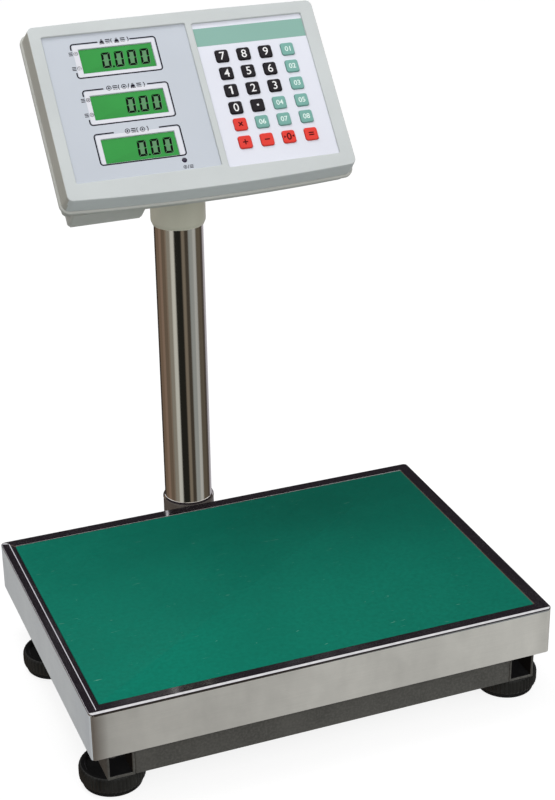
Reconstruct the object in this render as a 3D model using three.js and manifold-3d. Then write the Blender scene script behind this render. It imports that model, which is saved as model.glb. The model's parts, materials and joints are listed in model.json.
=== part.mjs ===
// Price-computing platform scale: a stainless weighing pan on a low steel frame with four screw feet,
// and a sloping keypad and display head on a polished column behind the pan.
// Millimetres. +Z is up, the operator stands on the -Y side, and the floor is Z = 0.

import * as THREE from 'three';
import { mergeVertices } from 'three/addons/utils/BufferGeometryUtils.js';
import Module from 'manifold-3d';

const wasm = await Module();
wasm.setup();

// ---------- driving dimensions ----------

const gap = 0.3; // clearance between separate pieces that touch

const panWidth = 400;
const panDepth = 285;
const panTop = 88;
const skirtHeight = 43.3;
const sheetThickness = 1.2;
const rimWidth = 10.8;
const panCornerRadius = 5;

const panRearToColumn = 66.7; // pan's back edge to the column's axis
const columnRadius = 22.5;
const columnWall = 1.5;
const bracketRearMargin = 26.8; // column's axis to the bracket's back edge
const overallDepth = panDepth + panRearToColumn + bracketRearMargin;
const panFront = -overallDepth / 2;
const panCentreY = panFront + panDepth / 2;
const panBack = panFront + panDepth;
const columnY = panBack + panRearToColumn;

const tubeWidth = 22.5;
const tubeHeight = 25;
const tubeWall = 1.8;
const tubeBottom = 20.5;
const tubeTop = tubeBottom + tubeHeight;
const frameHalfWidth = 187.5;
const frameFront = panFront + 4;
const frameDepth = 232.4;
const frameBack = frameFront + frameDepth;

const footInset = 27.8; // foot's axis to the end of its side tube
const footRadius = 26.9;
const footBaseRadius = 24.9;
const footTop = 18;
const soleThickness = 4;
const studRadius = 5;
const studTop = 41;

const cellWidth = 40;
const cellHeight = 22;
const cellLength = 140;
const cellBottom = 34.3;
const cellTop = cellBottom + cellHeight;
const cellCentreY = panCentreY - 4;
const cellPadLength = 28;
const beamHalfWidth = 30;
const beamBottom = 21;
const beamTop = 27;

const spiderBottom = 62.3;
const spiderTop = 68.3;
const spiderArmX = 150;
const spiderArmY = 98;
const spiderArmWidth = 36;

const socketRadius = 24.3;
const socketTop = 66;
const bracketBottom = 22;
const bracketTop = 30;
const bracketHalfWidth = 35;
const columnTop = 408;
const cableCrossing = 50; // the lead's height over the rear cross tube
const cableHeight = 38; // and behind the pan, under its skirt
const cableRadius = 2.5;
const cableHoleRadius = 4.5;

const headWidth = 256;
const headHeight = 158.5;
const headCornerRadius = 8;
const headSlope = THREE.MathUtils.degToRad(49.04); // face's angle from the horizontal
const headCentreForward = 55.8; // column's axis to the middle of the face
const headCentreHeight = 470.9;
const lowerBow = 3.5;
const upperBow = 1;
const bezelDepth = 18;
const bezelSkin = 3;
const bezelWall = 2.2;
const bezelDraft = 1.5;
const partingLip = 3.2;
const partingBottom = -22;
const shellBack = -36;
const batteryBoxBack = -50;

const panelFront = -1.8; // the two faces lie this far behind the bezel's front
const panelBack = -3.8;
const panelPocket = -1.5;
const panelOverlap = 3.5;
const displayWindow = { left: -117.4, right: 8.8, bottom: -64.3, top: 69 };
const keypadWindow = { left: 14.7, right: 115.6, bottom: -67.1, top: 67.7 };

const readoutSize = { width: 64, height: 22.5 };
const readoutX = -56.3;
const readoutRows = { weight: 44.2, unit_price: 1.1, total_price: -38.8 };
const lampPlace = { x: -21.9, y: -55.1, radius: 2.1 };

const keySize = { width: 12.7, height: 11.5, radius: 2 };
const keyColumns = [34.6, 54.4, 74.4, 94.9];
const keyRows = [35.1, 18.7, 2.4, -13.9, -29.5, -46.2];
const keyTop = -0.6;
const keyBottom = -6.2;

const batteryBox = { left: -121, right: -55, bottom: -82, top: 24 };
const boxWall = 2.2;
const coverFront = batteryBoxBack + 2;
const batterySize = { width: 52, length: 92, thickness: 23 };
const switchPlace = { x: 92, y: -48, radius: 8, halfWidth: 5, depth: -31 };
const switchLean = 0.28; // radians between each of the rocker's flats and the back of the head
const inletPlace = { x: 60, y: -48, radius: 6, boreRadius: 3.2 };

const pivotUp = 28.7; // tilt axis, up the slope from the middle of the face
const pivotBack = -49; // tilt axis, behind the face
const pivotRadius = 11;
const pivotBoltRadius = 3.7;
const tongueHalfWidth = 14;
const earThickness = 6;
const neckRadius = 25;
const neckBottom = 339;
const neckShoulder = 45; // tilt axis down to the neck's full round section

// ---------- shapes ----------

const roundSides = 32;

function toSolid(geometry) {
  const bare = geometry.clone();
  bare.deleteAttribute('normal');
  bare.deleteAttribute('uv');
  const merged = mergeVertices(bare, 1e-4);
  const vertProperties = Float32Array.from(merged.attributes.position.array);
  const triVerts = Uint32Array.from(merged.index.array);
  return new wasm.Manifold(new wasm.Mesh({ numProp: 3, vertProperties, triVerts }));
}

function toGeometry(solid) {
  const mesh = solid.getMesh();
  const geometry = new THREE.BufferGeometry();
  geometry.setAttribute('position', new THREE.BufferAttribute(mesh.vertProperties, 3));
  geometry.setIndex(new THREE.BufferAttribute(mesh.triVerts, 1));
  geometry.computeVertexNormals();
  return geometry;
}

const join = (first, ...rest) => rest.reduce((sum, solid) => sum.add(solid), first);
const cut = (first, ...rest) => rest.reduce((left, solid) => left.subtract(solid), first);

function block(x0, x1, y0, y1, z0, z1) {
  const geometry = new THREE.BoxGeometry(x1 - x0, y1 - y0, z1 - z0);
  return toSolid(geometry.translate((x0 + x1) / 2, (y0 + y1) / 2, (z0 + z1) / 2));
}

function roundedRectangle(width, height, radius) {
  const w = width / 2;
  const h = height / 2;
  const shape = new THREE.Shape();
  shape.moveTo(-w + radius, -h);
  shape.lineTo(w - radius, -h);
  shape.absarc(w - radius, -h + radius, radius, -Math.PI / 2, 0);
  shape.lineTo(w, h - radius);
  shape.absarc(w - radius, h - radius, radius, 0, Math.PI / 2);
  shape.lineTo(-w + radius, h);
  shape.absarc(-w + radius, h - radius, radius, Math.PI / 2, Math.PI);
  shape.lineTo(-w, -h + radius);
  shape.absarc(-w + radius, -h + radius, radius, Math.PI, Math.PI * 1.5);
  return shape;
}

function extrude(shape, z0, z1, curveSegments = 4) {
  const geometry = new THREE.ExtrudeGeometry(shape, { depth: z1 - z0, bevelEnabled: false, curveSegments });
  return geometry.translate(0, 0, z0);
}

function plate(width, height, radius, z0, z1, x = 0, y = 0, curveSegments = 4) {
  const shape = roundedRectangle(width, height, radius);
  return toSolid(extrude(shape, z0, z1, curveSegments).translate(x, y, 0));
}

// A solid of revolution about Z from [radius, height] points that start and end on the axis.
function turned(points, x = 0, y = 0, sides = roundSides) {
  const profile = points.map(([radius, height]) => new THREE.Vector2(radius, height));
  const geometry = new THREE.LatheGeometry(profile, sides);
  return toSolid(geometry.rotateX(Math.PI / 2).translate(x, y, 0));
}

function rod(radius, z0, z1, x = 0, y = 0, sides = roundSides) {
  const geometry = new THREE.CylinderGeometry(radius, radius, z1 - z0, sides);
  return toSolid(geometry.rotateX(Math.PI / 2).translate(x, y, (z0 + z1) / 2));
}

function rodAlongX(radius, x0, x1, y, z, sides = 20) {
  const geometry = new THREE.CylinderGeometry(radius, radius, x1 - x0, sides);
  return toSolid(geometry.rotateZ(Math.PI / 2).translate((x0 + x1) / 2, y, z));
}

// An outline drawn in (Y, Z) and pushed along X.
function extrudeAlongX(shape, x0, x1, curveSegments = 8) {
  const axes = new THREE.Matrix4().makeBasis(
    new THREE.Vector3(0, 1, 0),
    new THREE.Vector3(0, 0, 1),
    new THREE.Vector3(1, 0, 0),
  );
  return toSolid(extrude(shape, x0, x1, curveSegments).applyMatrix4(axes));
}

// ---------- materials ----------

const finish = (color, roughness, metalness) => () =>
  new THREE.MeshStandardMaterial({ color, roughness, metalness });

const stainless = finish(0xb0aea8, 0.35, 0.9);
const polished = finish(0xd0cec8, 0.08, 1);
const darkPaint = finish(0x4b4944, 0.5, 0.2);
const blackPlastic = finish(0x262624, 0.6, 0);
const greenSheet = finish(0x14735a, 0.45, 0);
const castAlloy = finish(0xa4a6a8, 0.4, 0.8);
const greyPlastic = finish(0xc8ced0, 0.45, 0);
const shellPlastic = finish(0xa0a096, 0.5, 0);
const displaySheet = finish(0xcdd0da, 0.35, 0);
const keypadSheet = finish(0xe4e6f0, 0.35, 0);
const readoutGlass = finish(0x329b46, 0.2, 0);
const circuitBoard = finish(0x1d5c3a, 0.5, 0);
const creamPlastic = finish(0xc8c6b4, 0.45, 0);
const blackKey = finish(0x231e23, 0.4, 0);
const redKey = finish(0xeb3c2d, 0.4, 0);
const tealKey = finish(0x78afa5, 0.4, 0);

const scale = new THREE.Group();

function add(group, name, solid, material) {
  const mesh = new THREE.Mesh(toGeometry(solid), material());
  mesh.name = name;
  group.add(mesh);
}

// ---------- lower frame ----------

function sideTube(side) {
  const centreX = side * (frameHalfWidth - tubeWidth / 2);
  const x0 = centreX - tubeWidth / 2;
  const x1 = centreX + tubeWidth / 2;
  const outside = block(x0, x1, frameFront, frameBack, tubeBottom, tubeTop);
  const inside = block(
    x0 + tubeWall, x1 - tubeWall, frameFront - 1, frameBack + 1, tubeBottom + tubeWall, tubeTop - tubeWall,
  );
  const holes = [frameFront + footInset, frameBack - footInset].map((y) =>
    rod(studRadius + gap, tubeBottom - 1, tubeBottom + tubeWall + 1, centreX, y, 20));
  return cut(outside, inside, ...holes);
}

function crossTube(y0) {
  const halfLength = frameHalfWidth - tubeWidth - gap;
  const y1 = y0 + tubeWidth;
  const outside = block(-halfLength, halfLength, y0, y1, tubeBottom, tubeTop);
  const inside = block(
    -halfLength - 1, halfLength + 1, y0 + tubeWall, y1 - tubeWall, tubeBottom + tubeWall, tubeTop - tubeWall,
  );
  return cut(outside, inside);
}

function loadCellBeam() {
  const y0 = frameFront + tubeWidth + gap;
  const y1 = frameBack - tubeWidth - gap;
  const padBack = cellCentreY + cellLength / 2;
  const pad = block(-22, 22, padBack - cellPadLength, padBack, beamTop - 1, cellBottom - gap);
  return join(block(-beamHalfWidth, beamHalfWidth, y0, y1, beamBottom, beamTop), pad);
}

function loadCell() {
  const front = cellCentreY - cellLength / 2;
  const middle = cellBottom + cellHeight / 2;
  const body = block(-cellWidth / 2, cellWidth / 2, front, front + cellLength, cellBottom, cellTop);
  const flexureHoles = [-22, 22].map((y) => rodAlongX(7.8, -cellWidth, cellWidth, cellCentreY + y, middle));
  const slot = block(-cellWidth, cellWidth, cellCentreY - 22, cellCentreY + 22, middle - 3, middle + 3);
  return cut(body, ...flexureHoles, slot);
}

function upperFrame() {
  const halfArm = spiderArmWidth / 2;
  const padFront = cellCentreY - cellLength / 2;
  const spine = block(
    -beamHalfWidth, beamHalfWidth, panCentreY - spiderArmY, panCentreY + spiderArmY, spiderBottom, spiderTop,
  );
  const pad = block(-22, 22, padFront, padFront + cellPadLength, cellTop + gap, spiderBottom + 1);
  const arms = [-1, 1].map((side) => {
    const y = panCentreY + side * spiderArmY;
    return block(-spiderArmX, spiderArmX, y - halfArm, y + halfArm, spiderBottom, spiderTop);
  });
  const posts = [-1, 1].flatMap((sideX) => [-1, 1].map((sideY) =>
    rod(8, spiderTop - 1, panTop - 2.5 - sheetThickness - gap,
      sideX * (spiderArmX - 14), panCentreY + sideY * spiderArmY, 16)));
  return join(spine, pad, ...arms, ...posts);
}

add(scale, 'left_side_tube', sideTube(-1), darkPaint);
add(scale, 'right_side_tube', sideTube(1), darkPaint);
add(scale, 'front_cross_tube', crossTube(frameFront), darkPaint);
add(scale, 'rear_cross_tube', crossTube(frameBack - tubeWidth), darkPaint);
add(scale, 'load_cell_beam', loadCellBeam(), darkPaint);
add(scale, 'load_cell', loadCell(), castAlloy);
add(scale, 'upper_frame', upperFrame(), darkPaint);

// ---------- screw feet ----------

function footSole(x, y) {
  const edge = footBaseRadius - 0.6;
  return turned([[0, 0], [edge - 0.8, 0], [edge, 0.8], [edge, soleThickness], [0, soleThickness]], x, y, 24);
}

function footKnob(x, y) {
  return turned([
    [0, soleThickness + gap],
    [footBaseRadius, soleThickness + gap],
    [footRadius, soleThickness + 2.5],
    [footRadius, footTop - 2.5],
    [footRadius - 2, footTop],
    [studRadius, footTop],
    [studRadius, studTop],
    [0, studTop],
  ], x, y, 24);
}

const footX = frameHalfWidth - tubeWidth / 2;
for (const [sideName, side] of [['left', -1], ['right', 1]]) {
  for (const [endName, y] of [['front', frameFront + footInset], ['rear', frameBack - footInset]]) {
    add(scale, `${endName}_${sideName}_foot_knob`, footKnob(side * footX, y), blackPlastic);
    add(scale, `${endName}_${sideName}_foot_sole`, footSole(side * footX, y), blackPlastic);
  }
}

// ---------- weighing pan ----------

const recessFloor = panTop - 2.5;

function panShell() {
  const skirtBottom = panTop - skirtHeight;
  const outside = plate(panWidth, panDepth, panCornerRadius, skirtBottom, panTop, 0, panCentreY);
  const recess = plate(
    panWidth - 2 * rimWidth, panDepth - 2 * rimWidth, 1.5, recessFloor, panTop + 1, 0, panCentreY, 2,
  );
  const inside = plate(
    panWidth - 2 * sheetThickness, panDepth - 2 * sheetThickness, panCornerRadius - sheetThickness,
    skirtBottom - 1, recessFloor - sheetThickness, 0, panCentreY,
  );
  return cut(outside, recess, inside);
}

function platterPlate() {
  const width = panWidth - 2 * (rimWidth + gap);
  const depth = panDepth - 2 * (rimWidth + gap);
  return plate(width, depth, 1.5, recessFloor + gap, panTop - 0.1, 0, panCentreY, 2);
}

add(scale, 'pan_shell', panShell(), stainless);
add(scale, 'platter_plate', platterPlate(), greenSheet);

// ---------- column ----------

function columnBracket() {
  const front = frameBack + gap;
  const back = columnY + bracketRearMargin;
  const floor = block(-bracketHalfWidth, bracketHalfWidth, front, back, bracketBottom, bracketTop);
  const flange = block(-bracketHalfWidth, bracketHalfWidth, front, front + 5, bracketBottom, tubeTop - 0.5);
  const ribs = [-1, 1].map((side) => {
    const x = side * (bracketHalfWidth - 2);
    return block(x - 2, x + 2, front, columnY - 12, bracketBottom, tubeTop - 8);
  });
  const socket = turned([
    [0, bracketTop - 1],
    [socketRadius, bracketTop - 1],
    [socketRadius, socketTop - 1],
    [socketRadius - 0.9, socketTop],
    [0, socketTop],
  ], 0, columnY);
  const bore = rod(columnRadius + gap, bracketTop, socketTop + 1, 0, columnY);
  return cut(join(floor, flange, ...ribs, socket), bore, cableHole());
}

function cableHole() {
  const geometry = new THREE.CylinderGeometry(cableHoleRadius, cableHoleRadius, 20, 12);
  return toSolid(geometry.translate(0, columnY - columnRadius, cableHeight));
}

function columnTube() {
  const bottom = bracketTop + gap;
  const outside = rod(columnRadius, bottom, columnTop, 0, columnY);
  const inside = rod(columnRadius - columnWall, bottom - 1, columnTop + 1, 0, columnY);
  return cut(outside, inside, cableHole());
}

// The load cell's lead leaves its rear end, crosses the frame and rises inside the column.
function signalCable() {
  const route = new THREE.CatmullRomCurve3([
    new THREE.Vector3(0, cellCentreY + cellLength / 2 + gap, cableCrossing),
    new THREE.Vector3(0, frameBack - 8, cableCrossing + 0.5),
    new THREE.Vector3(0, frameBack + 8, cableCrossing - 0.5),
    new THREE.Vector3(0, panBack - 12, cableHeight),
    new THREE.Vector3(0, columnY - columnRadius, cableHeight),
    new THREE.Vector3(0, columnY - 7, cableHeight + 8),
    new THREE.Vector3(0, columnY, cableHeight + 32),
    new THREE.Vector3(0, columnY, columnTop - 150),
    new THREE.Vector3(0, columnY, columnTop - 10),
  ], false, 'centripetal');
  const section = new THREE.Shape();
  section.absarc(0, 0, cableRadius, 0, Math.PI * 2);
  const geometry = new THREE.ExtrudeGeometry(section, { steps: 36, curveSegments: 4, extrudePath: route });
  return toSolid(geometry);
}

add(scale, 'column_bracket', columnBracket(), darkPaint);
add(scale, 'column_tube', columnTube(), polished);
add(scale, 'signal_cable', signalCable(), blackPlastic);

// ---------- swivelling neck ----------

const slopeSin = Math.sin(headSlope);
const slopeCos = Math.cos(headSlope);
const headY = columnY - headCentreForward;
const pivotY = headY + pivotUp * slopeCos - pivotBack * slopeSin;
const pivotZ = headCentreHeight + pivotUp * slopeSin + pivotBack * slopeCos;

function neck() {
  const shoulder = pivotZ - neckShoulder;
  const barrel = turned([
    [0, neckBottom],
    [columnRadius + 1, neckBottom],
    [neckRadius, neckBottom + 5],
    [neckRadius, shoulder],
    [0, shoulder],
  ], 0, columnY);
  const side = new THREE.Shape();
  side.moveTo(pivotY - neckRadius, shoulder - 1);
  side.lineTo(pivotY + neckRadius, shoulder - 1);
  side.absarc(pivotY, pivotZ, pivotRadius, -0.28, Math.PI + 0.28);
  const envelope = rod(neckRadius, neckBottom, pivotZ + 40, 0, columnY);
  const tongue = extrudeAlongX(side, -tongueHalfWidth, tongueHalfWidth).intersect(envelope);
  const bore = rod(columnRadius + 0.4, neckBottom - 1, columnTop + gap, 0, columnY);
  const boltHole = rodAlongX(pivotBoltRadius + gap, -30, 30, pivotY, pivotZ);
  return cut(join(barrel, tongue), bore, boltHole);
}

add(scale, 'neck', neck(), creamPlastic);

// ---------- head: local X right, Y up the slope, Z out of the face ----------

const head = new THREE.Group();
head.position.set(0, headY, headCentreHeight);
head.rotation.x = headSlope;
scale.add(head);

// The head's outline: a rounded rectangle whose long edges bow gently outwards.
function headOutline(grow) {
  const w = headWidth / 2 + grow;
  const h = headHeight / 2 + grow;
  const r = headCornerRadius + grow;
  const shape = new THREE.Shape();
  shape.moveTo(-w + r, -h);
  shape.quadraticCurveTo(0, -h - 2 * lowerBow, w - r, -h);
  shape.absarc(w - r, -h + r, r, -Math.PI / 2, 0);
  shape.lineTo(w, h - r);
  shape.absarc(w - r, h - r, r, 0, Math.PI / 2);
  shape.quadraticCurveTo(0, h + 2 * upperBow, -w + r, h);
  shape.absarc(-w + r, h - r, r, Math.PI / 2, Math.PI);
  shape.lineTo(-w, -h + r);
  shape.absarc(-w + r, -h + r, r, Math.PI, Math.PI * 1.5);
  return shape;
}

// An extruded head outline whose walls lean outwards by the given amount from z1 down to z0.
function draftedOutline(grow, lean, z0, z1) {
  const geometry = extrude(headOutline(grow), z0, z1, 5);
  const points = geometry.attributes.position;
  for (let i = 0; i < points.count; i += 1) {
    const share = (z1 - points.getZ(i)) / (z1 - z0);
    points.setX(i, points.getX(i) * (1 + share * lean / (headWidth / 2)));
    points.setY(i, points.getY(i) * (1 + share * lean / (headHeight / 2)));
  }
  return toSolid(geometry);
}

function windowPlate(opening, grow, z0, z1, radius = 2) {
  const width = opening.right - opening.left + 2 * grow;
  const height = opening.top - opening.bottom + 2 * grow;
  const x = (opening.left + opening.right) / 2;
  const y = (opening.bottom + opening.top) / 2;
  return plate(width, height, radius, z0, z1, x, y, 2);
}

function frontBezel() {
  const outside = draftedOutline(0, bezelDraft, -bezelDepth, 0);
  const inside = toSolid(extrude(headOutline(-bezelWall), -bezelDepth - 1, -bezelSkin, 5));
  const openings = [displayWindow, keypadWindow].map((opening) =>
    windowPlate(opening, 0, -bezelSkin - 1, 1, 1));
  // The two panel pockets meet behind the bar between the windows, so each stops at its middle.
  const pockets = [
    windowPlate(displayWindow, panelOverlap, -bezelSkin - 1, panelPocket),
    windowPlate(keypadWindow, panelOverlap, -bezelSkin - 1, panelPocket),
  ];
  return cut(outside, inside, ...openings, ...pockets);
}

function panelShape(opening) {
  const clear = panelOverlap - gap;
  const barMiddle = (displayWindow.right + keypadWindow.left) / 2;
  const solid = windowPlate(opening, clear, panelBack, panelFront, 1.7);
  const beyondBar = opening === displayWindow
    ? block(barMiddle - gap / 2, headWidth, -headHeight, headHeight, -bezelDepth, 1)
    : block(-headWidth, barMiddle + gap / 2, -headHeight, headHeight, -bezelDepth, 1);
  return cut(solid, beyondBar);
}

function displayPanel() {
  const windows = Object.values(readoutRows).map((y) =>
    plate(readoutSize.width, readoutSize.height, 0.6, panelBack - 1, panelFront + 1, readoutX, y, 1));
  const lampHole = rod(lampPlace.radius + gap, panelBack - 1, panelFront + 1, lampPlace.x, lampPlace.y, 16);
  return cut(panelShape(displayWindow), ...windows, lampHole);
}

function readout(y) {
  const lens = block(
    readoutX - readoutSize.width / 2 + gap, readoutX + readoutSize.width / 2 - gap,
    y - readoutSize.height / 2 + gap, y + readoutSize.height / 2 - gap, -6, panelFront - 0.7,
  );
  const halfHeight = readoutSize.height / 2 + 1.3;
  const body = block(readoutX - 35, readoutX + 35, y - halfHeight, y + halfHeight, -10.5, panelBack - gap);
  return join(lens, body);
}

function powerLamp() {
  const { x, y, radius } = lampPlace;
  return turned([
    [0, -10.5],
    [radius + 1, -10.5],
    [radius + 1, -5.5],
    [radius, -5.5],
    [radius, panelFront - 0.6],
    [radius * 0.6, panelFront + 0.1],
    [0, panelFront + 0.3],
  ], x, y, 16);
}

const eachKey = (make) => keyRows.flatMap((y, row) => keyColumns.map((x, column) => make(x, y, row, column)));

function keypadPanel() {
  const width = keySize.width + 2 * gap;
  const height = keySize.height + 2 * gap;
  const radius = keySize.radius + gap;
  const holes = eachKey((x, y) => plate(width, height, radius, panelBack - 1, panelFront + 1, x, y, 2));
  return cut(panelShape(keypadWindow), ...holes);
}

function keyCap(x, y) {
  const cap = plate(keySize.width, keySize.height, keySize.radius, panelBack - 1, keyTop, x, y, 2);
  const w = keySize.width / 2 + 0.9;
  const h = keySize.height / 2 + 0.9;
  const flange = block(x - w, x + w, y - h, y + h, panelBack - 1.5, panelBack - gap);
  const stem = block(x - 2.5, x + 2.5, y - 2.5, y + 2.5, keyBottom, panelBack - 1);
  return join(cap, flange, stem);
}

add(head, 'front_bezel', frontBezel(), greyPlastic);
add(head, 'display_panel', displayPanel(), displaySheet);
add(head, 'keypad_panel', keypadPanel(), keypadSheet);
for (const [name, y] of Object.entries(readoutRows)) add(head, `${name}_readout`, readout(y), readoutGlass);
add(head, 'power_lamp', powerLamp(), blackKey);
add(head, 'keypad_board', plate(100, 112, 2, -8.8, -7.2, 66, -5), circuitBoard);
add(head, 'main_board', plate(150, 104, 2, -20, -18.4, 35, 0), circuitBoard);

// Rows run from the top of the pad to the bottom. Digits and point are black, the eight memory
// keys on the right and below them are teal, and the working keys are red.
const keyNames = [
  ['key_7', 'key_8', 'key_9', 'key_memory_1'],
  ['key_4', 'key_5', 'key_6', 'key_memory_2'],
  ['key_1', 'key_2', 'key_3', 'key_memory_3'],
  ['key_0', 'key_point', 'key_memory_4', 'key_memory_5'],
  ['key_clear', 'key_memory_6', 'key_memory_7', 'key_memory_8'],
  ['key_add', 'key_tare', 'key_zero_set', 'key_total'],
];
const redKeys = new Set(['key_clear', 'key_add', 'key_tare', 'key_zero_set', 'key_total']);

eachKey((x, y, row, column) => {
  const name = keyNames[row][column];
  const isMemory = name.startsWith('key_memory');
  const material = redKeys.has(name) ? redKey : isMemory ? tealKey : blackKey;
  add(head, name, keyCap(x, y), material);
});

// ---------- rear shell, battery, switch and inlet ----------


function ear(side) {
  const shape = new THREE.Shape();
  shape.moveTo(pivotUp - pivotRadius, shellBack + 1);
  shape.lineTo(pivotUp - pivotRadius, pivotBack);
  shape.absarc(pivotUp, pivotBack, pivotRadius, Math.PI, Math.PI * 2);
  shape.lineTo(pivotUp + pivotRadius, shellBack + 1);
  const inner = tongueHalfWidth + 0.4;
  const outer = inner + earThickness;
  return side > 0 ? extrudeAlongX(shape, inner, outer) : extrudeAlongX(shape, -outer, -inner);
}

function rearShell() {
  const lipTop = -bezelDepth - gap;
  const lip = toSolid(extrude(headOutline(partingLip), partingBottom, lipTop, 5));
  const body = draftedOutline(-1, 2, shellBack, partingBottom + 1).mirror([0, 0, 1]);
  const upright = body.translate([0, 0, shellBack + partingBottom + 1]);
  const { left, right, bottom, top } = batteryBox;
  const box = block(left, right, bottom, top, batteryBoxBack, shellBack + 1);
  const cavity = toSolid(extrude(headOutline(-3.2), shellBack + 2, 0, 5));
  const boxCavity = block(
    left + boxWall, right - boxWall, bottom + boxWall, top - boxWall, coverFront + gap, shellBack + 3,
  );
  const coverSlot = block(left + 1, right - 1, bottom - 1, top - boxWall, coverFront - 0.5, coverFront + gap);
  const coverMouth = block(
    left + boxWall, right - boxWall, bottom - 1, top - boxWall, batteryBoxBack - 1, coverFront,
  );
  const boltHoles = rodAlongX(pivotBoltRadius + gap, -40, 40, pivotUp, pivotBack);
  const switchHole = block(
    switchPlace.x - switchPlace.radius - gap, switchPlace.x + switchPlace.radius + gap,
    switchPlace.y - switchPlace.halfWidth - gap, switchPlace.y + switchPlace.halfWidth + gap,
    shellBack - 1, shellBack + 3,
  );
  const inletHole = rod(
    inletPlace.radius + gap, shellBack - 1, shellBack + 3, inletPlace.x, inletPlace.y, 20,
  );
  const solid = join(lip, upright, box, ear(-1), ear(1));
  return cut(solid, cavity, boxCavity, coverSlot, coverMouth, boltHoles, switchHole, inletHole);
}

function batteryCover() {
  const { left, right, bottom, top } = batteryBox;
  const face = block(
    left + boxWall + gap, right - boxWall - gap, bottom, top - boxWall - gap, batteryBoxBack, coverFront,
  );
  const grips = [0, 1, 2].map((i) => {
    const y = bottom + 12 + i * 5;
    return block(left + 18, right - 18, y, y + 2, batteryBoxBack - 1, batteryBoxBack + 0.7);
  });
  return cut(face, ...grips);
}

function battery() {
  const { width, length, thickness } = batterySize;
  const left = (batteryBox.left + batteryBox.right - width) / 2;
  const bottom = batteryBox.bottom + 6;
  const back = coverFront + 1;
  const body = block(left, left + width, bottom, bottom + length, back, back + thickness);
  const terminals = [11, width - 16].map((x) =>
    block(left + x, left + x + 5, bottom + length - 1, bottom + length + 3, back + 9, back + 10));
  return join(body, ...terminals);
}

// A rocker: a round-backed paddle with two flats that meet at a shallow angle.
function powerSwitch() {
  const { x, y, radius, halfWidth, depth } = switchPlace;
  const round = new THREE.CylinderGeometry(radius, radius, 2 * halfWidth, 24).translate(x, y, depth);
  const flats = [-1, 1].map((side) => {
    const geometry = new THREE.BoxGeometry(30, 30, 10);
    geometry.translate(side * 15, 0, -5).rotateY(side * switchLean);
    return toSolid(geometry.translate(x, y, shellBack - 0.4));
  });
  const hidden = block(x - 20, x + 20, y - 20, y + 20, depth + 3, depth + 20);
  return cut(toSolid(round), ...flats, hidden);
}

function powerInlet() {
  const { x, y, radius, boreRadius } = inletPlace;
  return turned([
    [0, shellBack + 8],
    [boreRadius, shellBack + 8],
    [boreRadius, shellBack - 2],
    [radius + 1.4, shellBack - 2],
    [radius + 2, shellBack - gap],
    [radius, shellBack - gap],
    [radius, shellBack + 12],
    [0, shellBack + 12],
  ], x, y, 20);
}

function tiltBolt() {
  const reach = tongueHalfWidth + 0.4 + earThickness + gap;
  const shank = rodAlongX(pivotBoltRadius, -reach - 1, reach + 1, pivotUp, pivotBack);
  const boltHead = rodAlongX(7, -reach - 5, -reach, pivotUp, pivotBack, 6);
  const nut = rodAlongX(7, reach, reach + 5, pivotUp, pivotBack, 6);
  return join(shank, boltHead, nut);
}

add(head, 'rear_shell', rearShell(), shellPlastic);
add(head, 'battery', battery(), blackPlastic);
add(head, 'battery_cover', batteryCover(), shellPlastic);
add(head, 'power_switch', powerSwitch(), blackPlastic);
add(head, 'power_inlet', powerInlet(), blackPlastic);
add(head, 'tilt_bolt', tiltBolt(), castAlloy);

export default scale;
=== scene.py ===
"""Price-computing platform scale: visible pieces, materials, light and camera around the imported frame.

Metres, in the row frame: +Z up, the operator on the -Y side. Places come from the frame's own boxes.
"""

import json
import math

import bmesh
import bpy
from mathutils import Matrix, Vector


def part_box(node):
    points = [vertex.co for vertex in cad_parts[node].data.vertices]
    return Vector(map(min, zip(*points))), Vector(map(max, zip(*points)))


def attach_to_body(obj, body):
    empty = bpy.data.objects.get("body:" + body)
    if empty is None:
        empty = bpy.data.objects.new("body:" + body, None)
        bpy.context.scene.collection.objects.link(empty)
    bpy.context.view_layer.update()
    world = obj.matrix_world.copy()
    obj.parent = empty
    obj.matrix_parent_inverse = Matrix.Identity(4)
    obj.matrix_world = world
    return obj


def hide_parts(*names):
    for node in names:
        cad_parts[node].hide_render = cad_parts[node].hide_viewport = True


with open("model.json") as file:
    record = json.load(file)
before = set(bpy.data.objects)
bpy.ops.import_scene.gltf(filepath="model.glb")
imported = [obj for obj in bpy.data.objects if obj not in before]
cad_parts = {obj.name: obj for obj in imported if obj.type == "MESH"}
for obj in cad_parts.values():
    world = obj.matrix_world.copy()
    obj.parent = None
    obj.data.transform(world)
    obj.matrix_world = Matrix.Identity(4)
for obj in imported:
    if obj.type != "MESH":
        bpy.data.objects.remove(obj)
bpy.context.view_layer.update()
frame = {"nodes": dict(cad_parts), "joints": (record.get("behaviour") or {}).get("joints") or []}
scene = bpy.context.scene
MM = 0.001


# ---- mesh helpers

def circle(radius, count, x=0.0, y=0.0):
    """Points round a circle, anticlockwise."""
    angles = [2 * math.pi * i / count for i in range(count)]
    return [(x + radius * math.cos(angle), y + radius * math.sin(angle)) for angle in angles]


def quarter_turn(steps):
    """The cosine and sine at even steps through a quarter turn."""
    angles = [math.pi / 2 * i / steps for i in range(steps + 1)]
    return [(math.cos(angle), math.sin(angle)) for angle in angles]


def rounded_rectangle(width, height, radius, steps, centre):
    """A rounded rectangle's points, anticlockwise from the lower right corner."""
    cx, cy = width / 2 - radius, height / 2 - radius
    points = []
    for quarter, (sx, sy) in enumerate([(1, -1), (1, 1), (-1, 1), (-1, -1)]):
        for i in range(steps + 1):
            angle = math.pi / 2 * (quarter - 1 + i / steps)
            x = centre[0] + sx * cx + radius * math.cos(angle)
            y = centre[1] + sy * cy + radius * math.sin(angle)
            points.append((x, y))
    return points


def add_ring(bm, points, z):
    return [bm.verts.new((x, y, z)) for x, y in points]


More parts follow.
